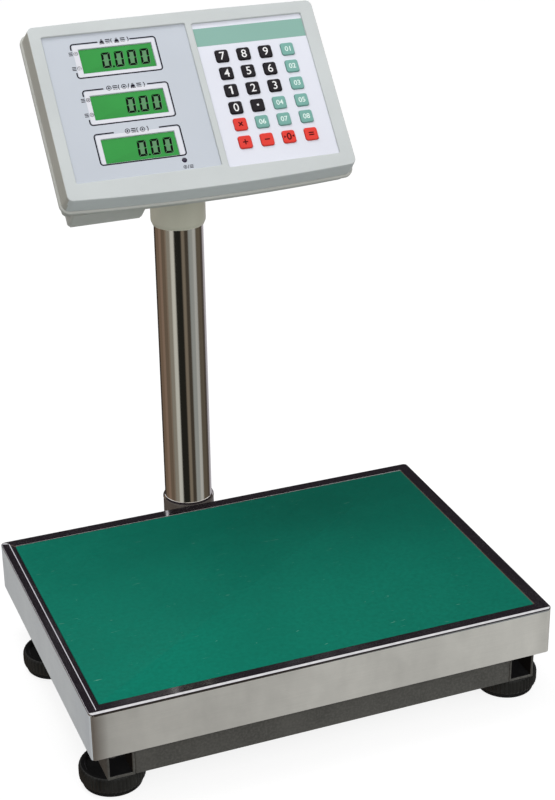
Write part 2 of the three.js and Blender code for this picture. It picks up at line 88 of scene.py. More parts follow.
def bridge(bm, lower, upper, material=0):
    """Quads between two rings of the same length. With anticlockwise rings, they face outwards."""
    for i in range(len(lower)):
        j = (i + 1) % len(lower)
        quad = bm.faces.new((lower[i], lower[j], upper[j], upper[i]))
        quad.material_index = material


def cap(bm, ring, up=True, material=0):
    end = bm.faces.new(ring if up else ring[::-1])
    end.material_index = material


def loft(bm, rings, materials=None, closed=False):
    """Joins rings one after another, and closes both ends if asked."""
    for i in range(len(rings) - 1):
        bridge(bm, rings[i], rings[i + 1], materials[i] if materials else 0)
    if closed:
        cap(bm, rings[0], False)
        cap(bm, rings[-1])


def fill(bm, loops, up):
    """A flat face between an outer loop and the loops of its holes."""
    edges = []
    for loop in loops:
        for i, vert in enumerate(loop):
            other = loop[(i + 1) % len(loop)]
            edges.append(bm.edges.get((vert, other)) or bm.edges.new((vert, other)))
    made = bmesh.ops.triangle_fill(bm, use_beauty=True, use_dissolve=False, edges=edges)
    for part in made["geom"]:
        if isinstance(part, bmesh.types.BMFace):
            part.normal_update()
            if (part.normal.z > 0) != up:
                part.normal_flip()


def lathe(bm, profile, count, centre, ribs=None, materials=None, tube=False):
    """Turns a profile of (radius, z) about Z, and closes its ends with caps or, for a tube, into a ring.

    ribs(angle, radius) may change the radius.
    """
    rings = []
    for radius, z in profile:
        points = []
        for i in range(count):
            angle = 2 * math.pi * i / count
            r = ribs(angle, radius) if ribs else radius
            points.append((centre[0] + r * math.cos(angle), centre[1] + r * math.sin(angle)))
        rings.append(add_ring(bm, points, z))
    loft(bm, rings, materials, not tube)
    if tube:
        bridge(bm, rings[-1], rings[0])


def stack(bm, base, sections, outline):
    """A capped solid through outline(inset) at each (inset, height) in mm. The heights are above a base."""
    rings = [add_ring(bm, outline(inset * MM), base + height * MM) for inset, height in sections]
    loft(bm, rings, closed=True)


def block(bm, low, high):
    """A box between two corners."""
    low, high = Vector(low), Vector(high)
    for vert in bmesh.ops.create_cube(bm, size=1)["verts"]:
        vert.co = vert.co * (high - low) + (high + low) / 2


def axis_of(node):
    """The middle of a node's box, seen from above, and half the box's width."""
    low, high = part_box(node)
    return (low.xy + high.xy) / 2, (high.x - low.x) / 2


def new_object(name, bm):
    """Moves a bmesh into a new object."""
    mesh = bpy.data.meshes.new(name)
    bm.to_mesh(mesh)
    bm.free()
    made = bpy.data.objects.new(name, mesh)
    scene.collection.objects.link(made)
    return made


def smooth(mesh, angle):
    """Smooth shading, except over edges sharper than an angle."""
    mesh.polygons.foreach_set("use_smooth", [True] * len(mesh.polygons))
    mesh.set_sharp_from_angle(angle=math.radians(angle))


def attach(piece, body, stands_for):
    """Makes a piece ride on a body, and hides the CAD nodes that it stands for."""
    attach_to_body(piece, body)
    if stands_for:
        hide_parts(*stands_for)


def make_piece(name, bm, materials, body, stands_for=(), angle=35, place=None):
    """Turns a bmesh into a smooth-shaded piece that rides on a body."""
    bmesh.ops.recalc_face_normals(bm, faces=bm.faces)
    if place is not None:
        bm.transform(place)
    piece = new_object(name, bm)
    smooth(piece.data, angle)
    for material in materials if isinstance(materials, list) else [materials]:
        piece.data.materials.append(material)
    attach(piece, body, stands_for)
    piece.visible_glossy = False
    return piece


def face_piece(name, bm, material, stands_for=(), angle=30, body="head"):
    """A piece drawn in the head's own axes."""
    return make_piece(name, bm, material, body, stands_for, angle, face)


def bevel(piece, width, segments, angle=35):
    modifier = piece.modifiers.new("bevel", "BEVEL")
    modifier.width = width
    modifier.segments = segments
    modifier.limit_method = "ANGLE"
    modifier.angle_limit = math.radians(angle)
    modifier.harden_normals = True


def soften(node, material, width, segments):
    """Gives a CAD node a material, and rounds its edges with modifiers."""
    piece = frame["nodes"][node]
    piece.data.materials.clear()
    piece.data.materials.append(material)
    weld = piece.modifiers.new("weld", "WELD")
    weld.merge_threshold = 1e-5
    flatten = piece.modifiers.new("flatten", "DECIMATE")
    flatten.decimate_type = "DISSOLVE"
    flatten.angle_limit = math.radians(1)
    bevel(piece, width, segments)
    piece.data.polygons.foreach_set("use_smooth", [True] * len(piece.data.polygons))
    piece.visible_glossy = False


def boolean(target, tool, operation):
    """Joins or cuts target with tool for good, and removes the tool."""
    modifier = target.modifiers.new("boolean", "BOOLEAN")
    modifier.operation = operation
    modifier.solver = "EXACT"
    modifier.object = tool
    depsgraph = bpy.context.evaluated_depsgraph_get()
    mesh = bpy.data.meshes.new_from_object(target.evaluated_get(depsgraph))
    target.modifiers.clear()
    target.data = mesh
    bpy.data.objects.remove(tool)


# ---- material helpers

def connect(tree, value, socket):
    """Links a socket to another node's output, or gives it a number or a colour."""
    if isinstance(value, bpy.types.NodeSocket):
        tree.links.new(value, socket)
    elif socket.type == "RGBA":
        socket.default_value = (*value, 1)
    else:
        socket.default_value = value


def add_node(tree, kind, sockets, **settings):
    """Adds a shader node with values for its sockets, which go by name or number, and returns its outputs."""
    node = tree.nodes.new(f"ShaderNode{kind}")
    for setting, value in settings.items():
        setattr(node, setting, value)
    for socket, value in sockets.items():
        connect(tree, value, node.inputs[socket])
    return node.outputs


class Finish:
    """A Principled material whose colour, roughness and bump come from procedural nodes."""

    def __init__(self, name, colour, roughness, metallic=0.0, **sockets):
        self.material = bpy.data.materials.new(name)
        self.material.use_nodes = True
        self.tree = self.material.node_tree
        self.shader = self.tree.nodes["Principled BSDF"]
        self.set(Base_Color=colour, Roughness=roughness, Metallic=metallic, **sockets)
        self.where = self.add("TexCoord", {})["Object"]
        self.height = None

    def add(self, kind, sockets, **settings):
        return add_node(self.tree, kind, sockets, **settings)

    def set(self, **sockets):
        """Gives the shader's sockets a value or a link."""
        for socket, value in sockets.items():
            connect(self.tree, value, self.shader.inputs[socket.replace("_", " ")])

    def noise(self, scale, detail, roughness=0.55, stretch=(1, 1, 1), distortion=0.0):
        place = self.add("Mapping", {"Vector": self.where, "Scale": stretch})["Vector"]
        look = {"Scale": scale, "Detail": detail, "Roughness": roughness, "Distortion": distortion}
        return self.add("TexNoise", {"Vector": place, **look})["Fac"]

    def ramp(self, value, low, high, out_low=0.0, out_high=1.0):
        limits = {"From Min": low, "From Max": high, "To Min": out_low, "To Max": out_high}
        return self.add("MapRange", {"Value": value, **limits})["Result"]

    def multiply(self, a, b):
        return self.add("Math", {0: a, 1: b}, operation="MULTIPLY")[0]

    def mix(self, factor, a, b):
        return self.add("Mix", {"Factor": factor, 6: a, 7: b}, data_type="RGBA")[2]

    def tones(self, value, low, high, colour, darker, lighter):
        """A colour that a value moves between a darker and a lighter tone."""
        return self.mix(self.ramp(value, low, high), scaled(colour, darker), scaled(colour, lighter))

    def axis(self, name):
        return self.add("SeparateXYZ", {0: self.where})[name]

    def tinted(self, colour, factor):
        """A colour made lighter or darker by a number."""
        return self.add("VectorMath", {0: colour, "Scale": factor}, operation="SCALE")[0]

    def colour(self, output):
        self.set(Base_Color=output)

    def rough(self, value, low, high, smoothest, roughest):
        self.set(Roughness=self.ramp(value, low, high, smoothest, roughest))

    def bump(self, output, strength, distance):
        """A bump over the ones before it."""
        sockets = {"Strength": strength, "Distance": distance, "Height": output}
        if self.height is not None:
            sockets["Normal"] = self.height
        self.height = self.add("Bump", sockets)["Normal"]
        self.set(Normal=self.height)


def srgb(red, green, blue):
    """A colour given as 0-255 screen values, as linear light."""
    def linear(value):
        value /= 255
        return value / 12.92 if value <= 0.04045 else ((value + 0.055) / 1.055) ** 2.4
    return linear(red), linear(green), linear(blue)


def grey(level):
    return (level, level, level)


def scaled(colour, factor):
    return tuple(min(1.0, channel * factor) for channel in colour)


def moulded(name, colour, roughness=0.42, grain=0.25, specular=0.5):
    """Injection-moulded plastic: fine spark grain, faint flow shading and slightly uneven gloss."""
    finish = Finish(name, colour, roughness, Specular_IOR_Level=specular)
    finish.colour(finish.tones(finish.noise(14, 3), 0.3, 0.7, colour, 0.955, 1.03))
    finish.rough(finish.noise(90, 3), 0.3, 0.7, roughness - 0.05, roughness + 0.07)
    finish.bump(finish.noise(2600, 2, 0.5), grain, 0.05 * MM)
    return finish.material


def painted(name, colour):
    """Powder coat: orange peel, dust in the low places and a slightly uneven tone."""
    finish = Finish(name, colour, 0.48)
    toned = finish.tones(finish.noise(22, 5, 0.6), 0.32, 0.7, colour, 0.8, 1.2)
    speckle = finish.ramp(finish.noise(480, 2, 0.5), 0.4, 0.72, 0.0, 0.6)
    finish.colour(finish.mix(speckle, toned, scaled(colour, 1.7)))
    finish.rough(finish.noise(60, 4), 0.3, 0.7, 0.4, 0.6)
    finish.bump(finish.noise(900, 2, 0.5), 0.35, 0.12 * MM)
    return finish.material


def brushed(name, colour, along, roughness, metallic):
    """Brushed stainless steel. along is the stretch that draws the lines out in one direction."""
    finish = Finish(name, colour, roughness, metallic)
    lines = finish.noise(1500, 3, 0.6, along)
    tone = finish.tones(finish.noise(18, 4, 0.6, (1, 1, 0.3)), 0.3, 0.72, colour, 0.84, 1.1)
    streak = finish.tones(lines, 0.3, 0.7, colour, 0.9, 1.06)
    finish.colour(finish.mix(0.35, tone, streak))
    finish.rough(lines, 0.25, 0.75, roughness - 0.07, roughness + 0.1)
    finish.bump(lines, 0.12, 0.05 * MM)
    return finish


def skirt_steel(name, colour, along):
    """The pan's satin skirt, with painted light: paler to the right, a painted shade at each end and a
    painted brown shade at the left corners.
    """
    finish = brushed(name, colour, along, 0.36, 0.33)
    toned = finish.shader.inputs["Base Color"].links[0].from_socket
    x = finish.axis("X")
    # Painted light: the skirt grows paler to the right.
    painted_light_slope = finish.ramp(x, -0.2, 0.2, 0.88, 1.08)
    # Painted shade: darker towards the left and right ends; the cloud below is the steel's own random tone.
    left = finish.ramp(x, -0.2, -0.176, 0.8, 1.0)
    right = finish.ramp(x, 0.18, 0.194, 1.0, 0.86)
    cloud = finish.ramp(finish.noise(45, 4, 0.62), 0.3, 0.7, 0.94, 1.04)
    painted_end_shade_and_cloud = finish.multiply(finish.multiply(left, right), cloud)
    painted_light_tone = finish.tinted(toned, finish.multiply(painted_light_slope, painted_end_shade_and_cloud))
    # Painted shade: a brown strip at the left corners.
    finish.colour(finish.mix(finish.ramp(x, -0.201, -0.186), srgb(112, 100, 90), painted_light_tone))
    return finish.material


def mirror(name, colour, roughness, along, tint):
    """Polished stainless steel: fine polishing lines, faint tinted streaks and a few dull smears."""
    finish = Finish(name, colour, roughness, 1.0)
    streak = finish.noise(220, 3, 0.6, along)
    warm = (colour[0], colour[1] * (1 - tint / 2), colour[2] * (1 - tint))
    finish.rough(finish.noise(20, 4, 0.6, (1, 1, 0.25)), 0.35, 0.75, roughness, roughness + 0.08)
    finish.colour(finish.mix(finish.ramp(streak, 0.32, 0.68), warm, scaled(colour, 0.84)))
    finish.bump(streak, 0.05, 0.1 * MM)
    finish.bump(finish.noise(1400, 2, 0.5, along), 0.05, 0.02 * MM)
    return finish.material


def printed(name, colour, roughness=0.34, specular=0.5):
    """Screen-printed polyester sheet: a smooth satin face with a faint ripple."""
    finish = Finish(name, colour, roughness, Specular_IOR_Level=specular)
    finish.colour(finish.tones(finish.noise(9, 2), 0.3, 0.7, colour, 0.965, 1.02))
    finish.rough(finish.noise(40, 3), 0.3, 0.7, roughness - 0.04, roughness + 0.06)
    finish.bump(finish.noise(1800, 2, 0.5), 0.1, 0.03 * MM)
    return finish.material


def green_coating():
    """The platter: a smooth green coat with a fine mottle, short pale scuffs, and painted light and shade:
    lighter to the front and left, darker to the back and right.
    """
    base = srgb(12, 110, 91)
    finish = Finish("platter_green", base, 0.48, Specular_IOR_Level=0.03)
    toned = finish.tones(finish.noise(7, 4, 0.55), 0.3, 0.72, base, 0.88, 1.1)
    mottle = finish.ramp(finish.noise(260, 3, 0.6), 0.35, 0.7, 0.0, 0.5)
    mottled = finish.mix(mottle, toned, scaled(base, 0.72))
    scuff = finish.ramp(finish.noise(70, 2, 0.5, (1, 5, 1), 1.6), 0.72, 0.79, 0.0, 0.45)
    scuffed = finish.mix(scuff, mottled, srgb(120, 175, 155))
    # Painted light and shade: lighter to the left and front, darker to the right and back.
    painted_shade_sideways = finish.tinted(scuffed, finish.ramp(finish.axis("X"), -0.2, 0.2, 1.16, 0.89))
    finish.colour(finish.tinted(painted_shade_sideways, finish.ramp(finish.axis("Y"), -0.14, 0.14, 1.05, 0.95)))
    finish.rough(finish.noise(55, 4), 0.3, 0.7, 0.38, 0.5)
    finish.bump(finish.noise(700, 3, 0.5), 0.12, 0.05 * MM)
    return finish.material


def readout_glass():
    """A back-lit liquid crystal face: a glowing green with a faint cloud."""
    base = srgb(40, 132, 56)
    finish = Finish("readout_green", base, 0.2, Specular_IOR_Level=0.3)
    finish.set(Emission_Color=srgb(40, 145, 58), Emission_Strength=0.25)
    finish.colour(finish.tones(finish.noise(30, 2), 0.3, 0.7, base, 0.93, 1.06))
    finish.bump(finish.noise(1500, 1, 0.5), 0.04, 0.02 * MM)
    return finish.material


def worn_rubber(name, colour, roughness):
    """Rubber or dull plastic with dust on it."""
    finish = Finish(name, colour, roughness, Specular_IOR_Level=0.3)
    dust = finish.noise(45, 5, 0.65)
    finish.colour(finish.tones(dust, 0.38, 0.75, colour, 0.75, 2.0))
    finish.rough(dust, 0.3, 0.7, roughness - 0.08, roughness + 0.15)
    finish.bump(finish.noise(1300, 3, 0.55), 0.4, 0.1 * MM)
    return finish.material


def circuit(name):
    """A green circuit board with paler tracks."""
    base = srgb(24, 92, 56)
    finish = Finish(name, base, 0.4)
    tracks = finish.noise(300, 1, 0.4, (1, 6, 6))
    finish.colour(finish.mix(finish.ramp(tracks, 0.52, 0.56), base, srgb(60, 130, 84)))
    finish.bump(tracks, 0.2, 0.05 * MM)
    return finish.material


bezel_grey = moulded("bezel_plastic", srgb(203, 208, 208))
# A darker copy of the bezel's plastic for its end walls: painted shade.
bezel_end_shaded = moulded("bezel_plastic_end_shaded", srgb(179, 178, 169), 0.5)
shell_grey = moulded("shell_plastic", srgb(196, 197, 191), 0.46)
cream = moulded("neck_plastic", srgb(208, 205, 188), 0.4, 0.15)
black_plastic = worn_rubber("foot_plastic", srgb(32, 32, 30), 0.5)
# A near-black copy of the foot plastic for the feet's tops under the pan: painted shade.
foot_top_shaded = moulded("foot_plastic_top_shaded", srgb(13, 13, 13), 0.7, 0.3, 0.08)
sole_rubber = worn_rubber("sole_rubber", srgb(22, 22, 22), 0.75)
frame_paint = painted("frame_paint", srgb(80, 79, 75))
# A near-black sheet for the insides of the tubes: painted shade.
tube_shade_black = moulded("tube_shade_lining", srgb(9, 9, 10), 0.8, 0.3, 0.1)
steel_x = skirt_steel("pan_stainless", srgb(228, 226, 219), (0.012, 1, 1))
# A paler, bluer copy of the skirt's steel for the left and right sides: painted light.
steel_side_lit = brushed("pan_stainless_side_lit", srgb(240, 246, 252), (1, 0.012, 1), 0.36, 0.06).material
polished = mirror("column_polished", srgb(222, 220, 216), 0.07, (1, 1, 0.01), 0.06)
rim_polish = mirror("pan_rim_polished", srgb(212, 211, 214), 0.06, (1, 1, 1), 0.02)
platter_green = green_coating()
display_sheet = printed("display_sheet", srgb(198, 204, 213))
display_white = printed("display_sheet_white", srgb(224, 225, 232))
keypad_sheet = printed("keypad_sheet", srgb(229, 231, 241))
band_green = printed("keypad_sheet_band", srgb(135, 178, 166))
print_dark = printed("print_dark", srgb(26, 20, 36), 0.4, 0.12)
print_white = printed("print_white", srgb(238, 238, 238), 0.4)
print_pale = printed("print_pale", srgb(222, 240, 234), 0.4)
print_maroon = printed("print_maroon", srgb(88, 10, 10), 0.4, 0.12)
readout_green = readout_glass()
segment_dark = printed("readout_segment", srgb(8, 16, 10), 0.5, 0.06)
# The readouts' painted shadows: each segment's shadow and the shade inside each nought.
segment_shadow = printed("readout_segment_shadow", srgb(86, 140, 94), 0.3)
lamp_lens = moulded("lamp_lens", srgb(42, 32, 58), 0.15, 0.0)
key_black = moulded("key_black", srgb(28, 24, 30), 0.36, 0.2, 0.2)
key_teal = moulded("key_teal", srgb(118, 172, 162), 0.4, 0.2)
key_red = moulded("key_red", srgb(228, 50, 36), 0.38, 0.2)
board_green = circuit("circuit_board")
battery_black = moulded("battery_case", srgb(40, 40, 42), 0.5, 0.4)
switch_black = moulded("switch_plastic", srgb(24, 24, 26), 0.25, 0.1)
# A dark steel for the feet's studs, darkened further as painted shade where they reach into the tubes.
stud_steel_shaded = brushed("stud_steel_shaded", srgb(70, 68, 66), (1, 1, 1), 0.4, 0.7).material
bolt_steel = brushed("bolt_steel", srgb(190, 190, 186), (1, 1, 1), 0.3, 0.7).material
cell_alloy = brushed("cell_alloy", srgb(200, 202, 204), (1, 0.02, 1), 0.38, 0.6).material
cable_black = worn_rubber("cable_jacket", srgb(22, 22, 22), 0.6)
socket_steel = brushed("socket_steel", srgb(128, 122, 118), (1, 1, 0.05), 0.42, 0.5).material


# ---- weighing pan

PAN_CORNER = 3.6
ARC_STEPS = 8
ARC_RUN_OUT = 2


def pan_ring(bm, low, high, front, left, plain):
    """One ring round the pan.

    Each pair is an inset and a height over the rim, in mm: for the front, the left, or the other two sides.
    """
    points = []
    for quarter, (sx, sy) in enumerate(((1, -1), (1, 1), (-1, 1), (-1, -1))):
        side, along = plain if sx > 0 else left, front if sy < 0 else plain
        radius = max(PAN_CORNER - max(side[0], along[0]), 0.05) * MM
        x = (high.x if sx > 0 else low.x) - sx * (side[0] * MM + radius)
        y = (high.y if sy > 0 else low.y) - sy * (along[0] * MM + radius)
        before, after = (side[1], along[1]) if quarter in (1, 3) else (along[1], side[1])
        # A short straight at each end of the arc keeps the corner's shading off the long flanges.
        for i in range(-1, ARC_STEPS + 2):
            share = min(max(i / ARC_STEPS, 0), 1)
            angle = math.pi / 2 * (quarter - 1 + share)
            run = ARC_RUN_OUT * MM * (i - share * ARC_STEPS)
            px = radius * math.cos(angle) - run * math.sin(angle)
            py = radius * math.sin(angle) + run * math.cos(angle)
            points.append(bm.verts.new((x + px, y + py, high.z + (before + (after - before) * share) * MM)))
    return points


def make_pan():
    """The pan: a rolled front edge, a low ridge along the left flange, and plain right and rear flanges."""
    low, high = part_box("pan_shell")
    plate_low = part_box("platter_plate")[0]
    bottom = (low.z - high.z) / MM
    floor = (plate_low.z - high.z) / MM - 0.3
    rim = (plate_low.x - low.x) / MM - 0.3
    sheet, bead, fold, dip, edge, flat = 1.2, 2.4, 0.6, 0.25, 0.08, -0.01
    skirt, polish, side_skirt = 0, 1, 2
    # Each row has the pairs that pan_ring takes, and the material up to the next row.
    rows = [(pair, pair, pair, skirt) for pair in (
        (sheet, floor - 2 * sheet), (sheet, bottom + 0.4), (sheet * 0.7, bottom), (sheet * 0.3, bottom),
        (0, bottom + 0.4),
    )]
    rows.append(((0, -bead - 0.4), (0, -fold - dip - 0.4), (0, -fold - 0.4), polish))
    for cosine, sine in quarter_turn(12):
        away, down = 1 - cosine, 1 - sine
        folded = (fold * away, -fold * down)
        rows.append(((bead * away, -bead * down), (folded[0], folded[1] - dip), folded, polish))
    rows.append(((bead + 0.2, flat), (fold + 0.2, flat - dip), (fold + 0.2, flat), polish))
    rows += [(front, left, front, polish) for front, left in (
        ((4.5, flat), (6.5, flat - dip)), ((5.5, flat), (7.1, flat)), ((6.5, flat), (7.5, flat)),
        ((7.5, flat), (8.2, -0.45)), ((rim - edge, flat), (rim - edge, -0.47)),
        ((rim, flat - edge), (rim, -0.7)), ((rim, floor), (rim, floor)),
    )]
    bm = bmesh.new()
    rings = [pan_ring(bm, low, high, *row[:3]) for row in rows]
    loft(bm, rings, [row[3] for row in rows])
    cap(bm, rings[-1], True, polish)
    under = pan_ring(bm, low, high, *[(sheet * 2.5, floor - sheet)] * 3)
    bridge(bm, under, rings[0])
    cap(bm, under, False)
    # The sides are brushed along their own length, and their steel is a paler, bluer copy: painted light.
    for part in bm.faces:
        if part.material_index == skirt:
            part.normal_update()
            part.material_index = side_skirt if abs(part.normal.x) > 0.75 else skirt
    make_piece("pan_skin", bm, [steel_x, rim_polish, steel_side_lit], "pan", ["pan_shell"], 12)


def make_platter():
    low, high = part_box("platter_plate")

    def outline(inset):
        width, depth = high.x - low.x - 2 * inset, high.y - low.y - 2 * inset
        return rounded_rectangle(width, depth, 1.5 * MM, 4, ((low + high) / 2).xy)

    bm = bmesh.new()
    stack(bm, low.z, ((0.4, 0), (0, 0.35), (0, 1.5), (0.12, 1.85), (0.45, 2.1)), outline)
    make_piece("platter_sheet", bm, platter_green, "pan", ["platter_plate"], 50)


# ---- feet

FOOT_RIBS = 48
RIB_DEPTH = 0.7 * MM
THREAD_PITCH = 1.5 * MM


def make_foot(name):
    """A ribbed levelling foot with a boss in its dished top, its M10 stud and its rubber sole."""
    knob, sole = f"{name}_knob", f"{name}_sole"
    low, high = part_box(knob)
    centre, radius = axis_of(knob)

    def ribbed(angle, r):
        if r < radius - 1.2 * MM:
            return r
        wave = 0.5 + 0.5 * math.cos(angle * FOOT_RIBS)
        return r - RIB_DEPTH * wave ** 3

    # Insets and heights up the wall, then radii and heights of the boss, all in mm.
    wall = ((2.4, 0), (0.9, 0.7), (0.2, 2.2), (0, 4), (0, 10.2), (0.5, 12), (1.1, 13))
    dish = ((2.2, 13.6), (4.2, 13.7), (5.0, 13.3), (5.6, 11.6), (6.4, 10.4))
    boss = ((9.5, 10.2), (8.8, 10.7), (8.4, 13.2), (7.9, 13.7), (5.2, 13.7))
    profile = [(radius - inset * MM, low.z + z * MM) for inset, z in wall + dish]
    profile += [(r * MM, low.z + z * MM) for r, z in boss]
    # The dish and the boss take the near-black copy: painted shade on the foot's top.
    materials = [0] * len(wall) + [1] * len(dish + boss)
    bm = bmesh.new()
    lathe(bm, profile, FOOT_RIBS * 4, centre, ribbed, materials)
    make_piece(f"{name}_grip", bm, [black_plastic, foot_top_shaded], knob, [knob], 40)

    # The stud's thread is drawn as rings.
    profile = [(4.2 * MM, low.z + 13.5 * MM)]
    z = low.z + 14.2 * MM
    while z < high.z - 2.2 * MM:
        profile += [(r * MM, z + rise * MM) for r, rise in ((4.3, 0), (4.95, 0.6), (4.95, 0.8), (4.3, 1.35))]
        z += THREAD_PITCH
    profile += [(4.0 * MM, high.z - 0.9 * MM), (3.2 * MM, high.z)]
    bm = bmesh.new()
    lathe(bm, profile, 28, centre)
    # The stud takes the darkened steel: painted shade.
    make_piece(f"{name}_stud", bm, stud_steel_shaded, knob, (), 30)

    # The sole has four round grooves underneath.
    low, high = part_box(sole)
    radius, thickness = (high.x - low.x) / 2, high.z - low.z
    profile = [(2, 0.6), (3, 0)]
    for r in (5.5, 10.1, 14.7, 19.3):
        profile += [(r, 0), (r + 0.4, 0.8), (r + 1.2, 0.8), (r + 1.6, 0)]
    profile = [(r * MM, low.z + z * MM) for r, z in profile]
    profile += [(radius - inset * MM, low.z + z * MM) for inset, z in ((0.9, 0), (0.2, 0.4), (0, 1.1))]
    profile.append((radius, low.z + thickness))
    bm = bmesh.new()
    lathe(bm, profile, 96, centre)
    make_piece(f"{name}_tread", bm, sole_rubber, sole, [sole], 35)


# ---- column and frame

def make_column():
    low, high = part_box("column_tube")
    centre, radius = axis_of("column_tube")
    bore = radius - 1.5 * MM
    profile = [
        (radius - 0.3 * MM, low.z), (radius, low.z + 0.3 * MM), (radius, high.z - 0.4 * MM),
        (radius - 0.4 * MM, high.z), (bore + 0.2 * MM, high.z), (bore, high.z - 0.2 * MM),
        (bore, low.z + 0.2 * MM), (bore + 0.2 * MM, low.z),
    ]
    bm = bmesh.new()
    lathe(bm, profile, 160, centre, tube=True)
    pole = make_piece("column_pole", bm, polished, "base", ["column_tube"], 40)
    pole.visible_glossy = True


def make_bracket():
    """The bracket's plate and ribs, and the welded socket ring that holds the column."""
    low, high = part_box("column_bracket")
    centre, tube_radius = axis_of("column_tube")
    floor_top = low.z + 8 * MM
    bm = bmesh.new()
    block(bm, low, (high.x, high.y, floor_top))
    piece = make_piece("bracket_plate", bm, frame_paint, "base", ["column_bracket"])
    bevel(piece, 1.2 * MM, 3)
    bm = bmesh.new()
    rib_front = low.y + 5 * MM
    block(bm, (low.x, low.y, floor_top), (high.x, rib_front, high.z - 21 * MM))
    for side in (-1, 1):
        x = side * (high.x - 2 * MM)
        block(bm, (x - 2 * MM, rib_front, floor_top), (x + 2 * MM, centre.y - 12 * MM, high.z - 28.5 * MM))
    piece = make_piece("bracket_ribs", bm, frame_paint, "base")
    bevel(piece, 0.8 * MM, 2)

    # The socket ring flares a little under its polished chamfer.
    inner, outer = tube_radius + 0.15 * MM, tube_radius + 1.8 * MM
    top = high.z
    profile = [
        (inner, floor_top + 0.2 * MM), (outer, floor_top + 0.2 * MM), (outer, top - 4.2 * MM),
        (outer + 0.25 * MM, top - 3.4 * MM), (outer + 0.25 * MM, top - 2.6 * MM),
        (outer - 0.1 * MM, top - 1.9 * MM), (inner + 0.7 * MM, top - 0.2 * MM),
        (inner + 0.2 * MM, top), (inner, top - 0.3 * MM),
    ]
    bm = bmesh.new()
    lathe(bm, profile, 128, centre, None, [0, 0, 0, 0, 0, 1, 1, 1], True)
    make_piece("socket_ring", bm, [socket_steel, polished], "base", (), 30)

    # A weld bead joins the ring to its plate.
    bm = bmesh.new()
    count, rings = 120, []
    for i in range(count):
        angle = 2 * math.pi * i / count
        bead = (1.5 + 0.25 * math.sin(angle * 40)) * MM
        section = circle(bead, 8, outer + 0.4 * MM, floor_top + 0.5 * MM)
        points = [(centre.x + r * math.cos(angle), centre.y + r * math.sin(angle), z) for r, z in section]
        rings.append([bm.verts.new(point) for point in points])
    for a, b in zip(rings, rings[1:] + rings[:1]):
        for j in range(8):
            k = (j + 1) % 8
            bm.faces.new((a[j], b[j], b[k], a[k]))
    make_piece("socket_weld", bm, frame_paint, "base", (), 60)


def make_tube_shade_lining(side):
    """A near-black sheet inside a side tube, seen through its open front end: painted shade."""
    low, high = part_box(f"{side}_side_tube")
    wall, depth, skin = 2.1 * MM, 70 * MM, 0.15 * MM
    bm = bmesh.new()
    rings = []
    for inset, y in ((wall, 1 * MM), (wall, depth), (wall + skin, depth - 1 * MM), (wall + skin, 1 * MM)):
        corners = rectangle(low.x + inset, high.x - inset, low.z + inset, high.z - inset)
        rings.append([bm.verts.new((x, low.y + y, z)) for x, z in corners])
    loft(bm, rings[:2])
    loft(bm, rings[2:])
    bridge(bm, rings[3], rings[0])
    cap(bm, rings[1])
    cap(bm, rings[2])
    make_piece(f"{side}_tube_shade_lining", bm, tube_shade_black, "base", (), 30)


# ---- the head's own axes

def find_face():
    """X right, Y up the slope and Z out of the face, from the middle of the front casing's face."""
    press = next(joint for joint in frame["joints"] if joint["name"] == "key_5_press")
    out = -Vector(press["axis"]).normalized()
    right = Vector((1, 0, 0))
    turn = Matrix((right, out.cross(right), out)).transposed()
    back_turn = turn.transposed()
    heights = [(back_turn @ vertex.co).y for vertex in frame["nodes"]["main_board"].data.vertices]
    depths = [(back_turn @ vertex.co).z for vertex in frame["nodes"]["front_bezel"].data.vertices]
    origin = Vector((0, (min(heights) + max(heights)) / 2, max(depths)))
    return Matrix.Translation(turn @ origin) @ turn.to_4x4()


face = find_face()


def face_box(node):
    """A node's lowest and highest corners in the head's own axes."""
    into = face.inverted()
    points = [into @ vertex.co for vertex in frame["nodes"][node].data.vertices]
    low = Vector([min(point[i] for point in points) for i in range(3)])
    high = Vector([max(point[i] for point in points) for i in range(3)])
    return low, high


def face_middle(node):
    """The middle of a node's box on the face."""
    low, high = face_box(node)
    return (low.x + high.x) / 2, (low.y + high.y) / 2


# ---- outlines on the face

def plate(bm, loops, z0, z1):
    """A closed flat plate: the first loop is its outline and the others are holes."""
    lower = [add_ring(bm, loop, z0) for loop in loops]
    upper = [add_ring(bm, loop, z1) for loop in loops]
    for a, b in zip(lower, upper):
        bridge(bm, a, b)
    fill(bm, lower, False)
    fill(bm, upper, True)


def strip(bm, points, width, z0, z1):
    """A printed line of even width along an open path of 2-D points."""
    left, right = [], []
    for i, point in enumerate(points):
        here = Vector(point)
        behind = here - Vector(points[max(i - 1, 0)])
        ahead = Vector(points[min(i + 1, len(points) - 1)]) - here
        direction = ahead.normalized() + behind.normalized()
        normal = Vector((-direction.y, direction.x)).normalized() * width / 2
        left.append((here + normal)[:])
        right.append((here - normal)[:])
    plate(bm, [right + left[::-1]], z0, z1)


def rectangle(left, right, bottom, top, radius=0.0, steps=4):
    centre = ((left + right) / 2, (bottom + top) / 2)
    if radius:
        return rounded_rectangle(right - left, top - bottom, radius, steps, centre)
    return [(left, bottom), (right, bottom), (right, top), (left, top)]


def centred(x, y, half, grow, radius):
    """A rounded rectangle round a point, from its half width and half height."""
    w, h = half[0] + grow, half[1] + grow
    return rectangle(x - w, x + w, y - h, y + h, radius)


HEAD_CORNER = 5.5 * MM
LOWER_BOW, UPPER_BOW = 3.5 * MM, 1 * MM
DRAFT = 1.5 * MM
casing_low, casing_high = face_box("front_bezel")
HALF_WIDTH = casing_high.x - DRAFT
HALF_HEIGHT = (casing_high.y - casing_low.y - LOWER_BOW - UPPER_BOW) / 2 - DRAFT
EDGE_STEPS, CORNER_STEPS = 28, 9


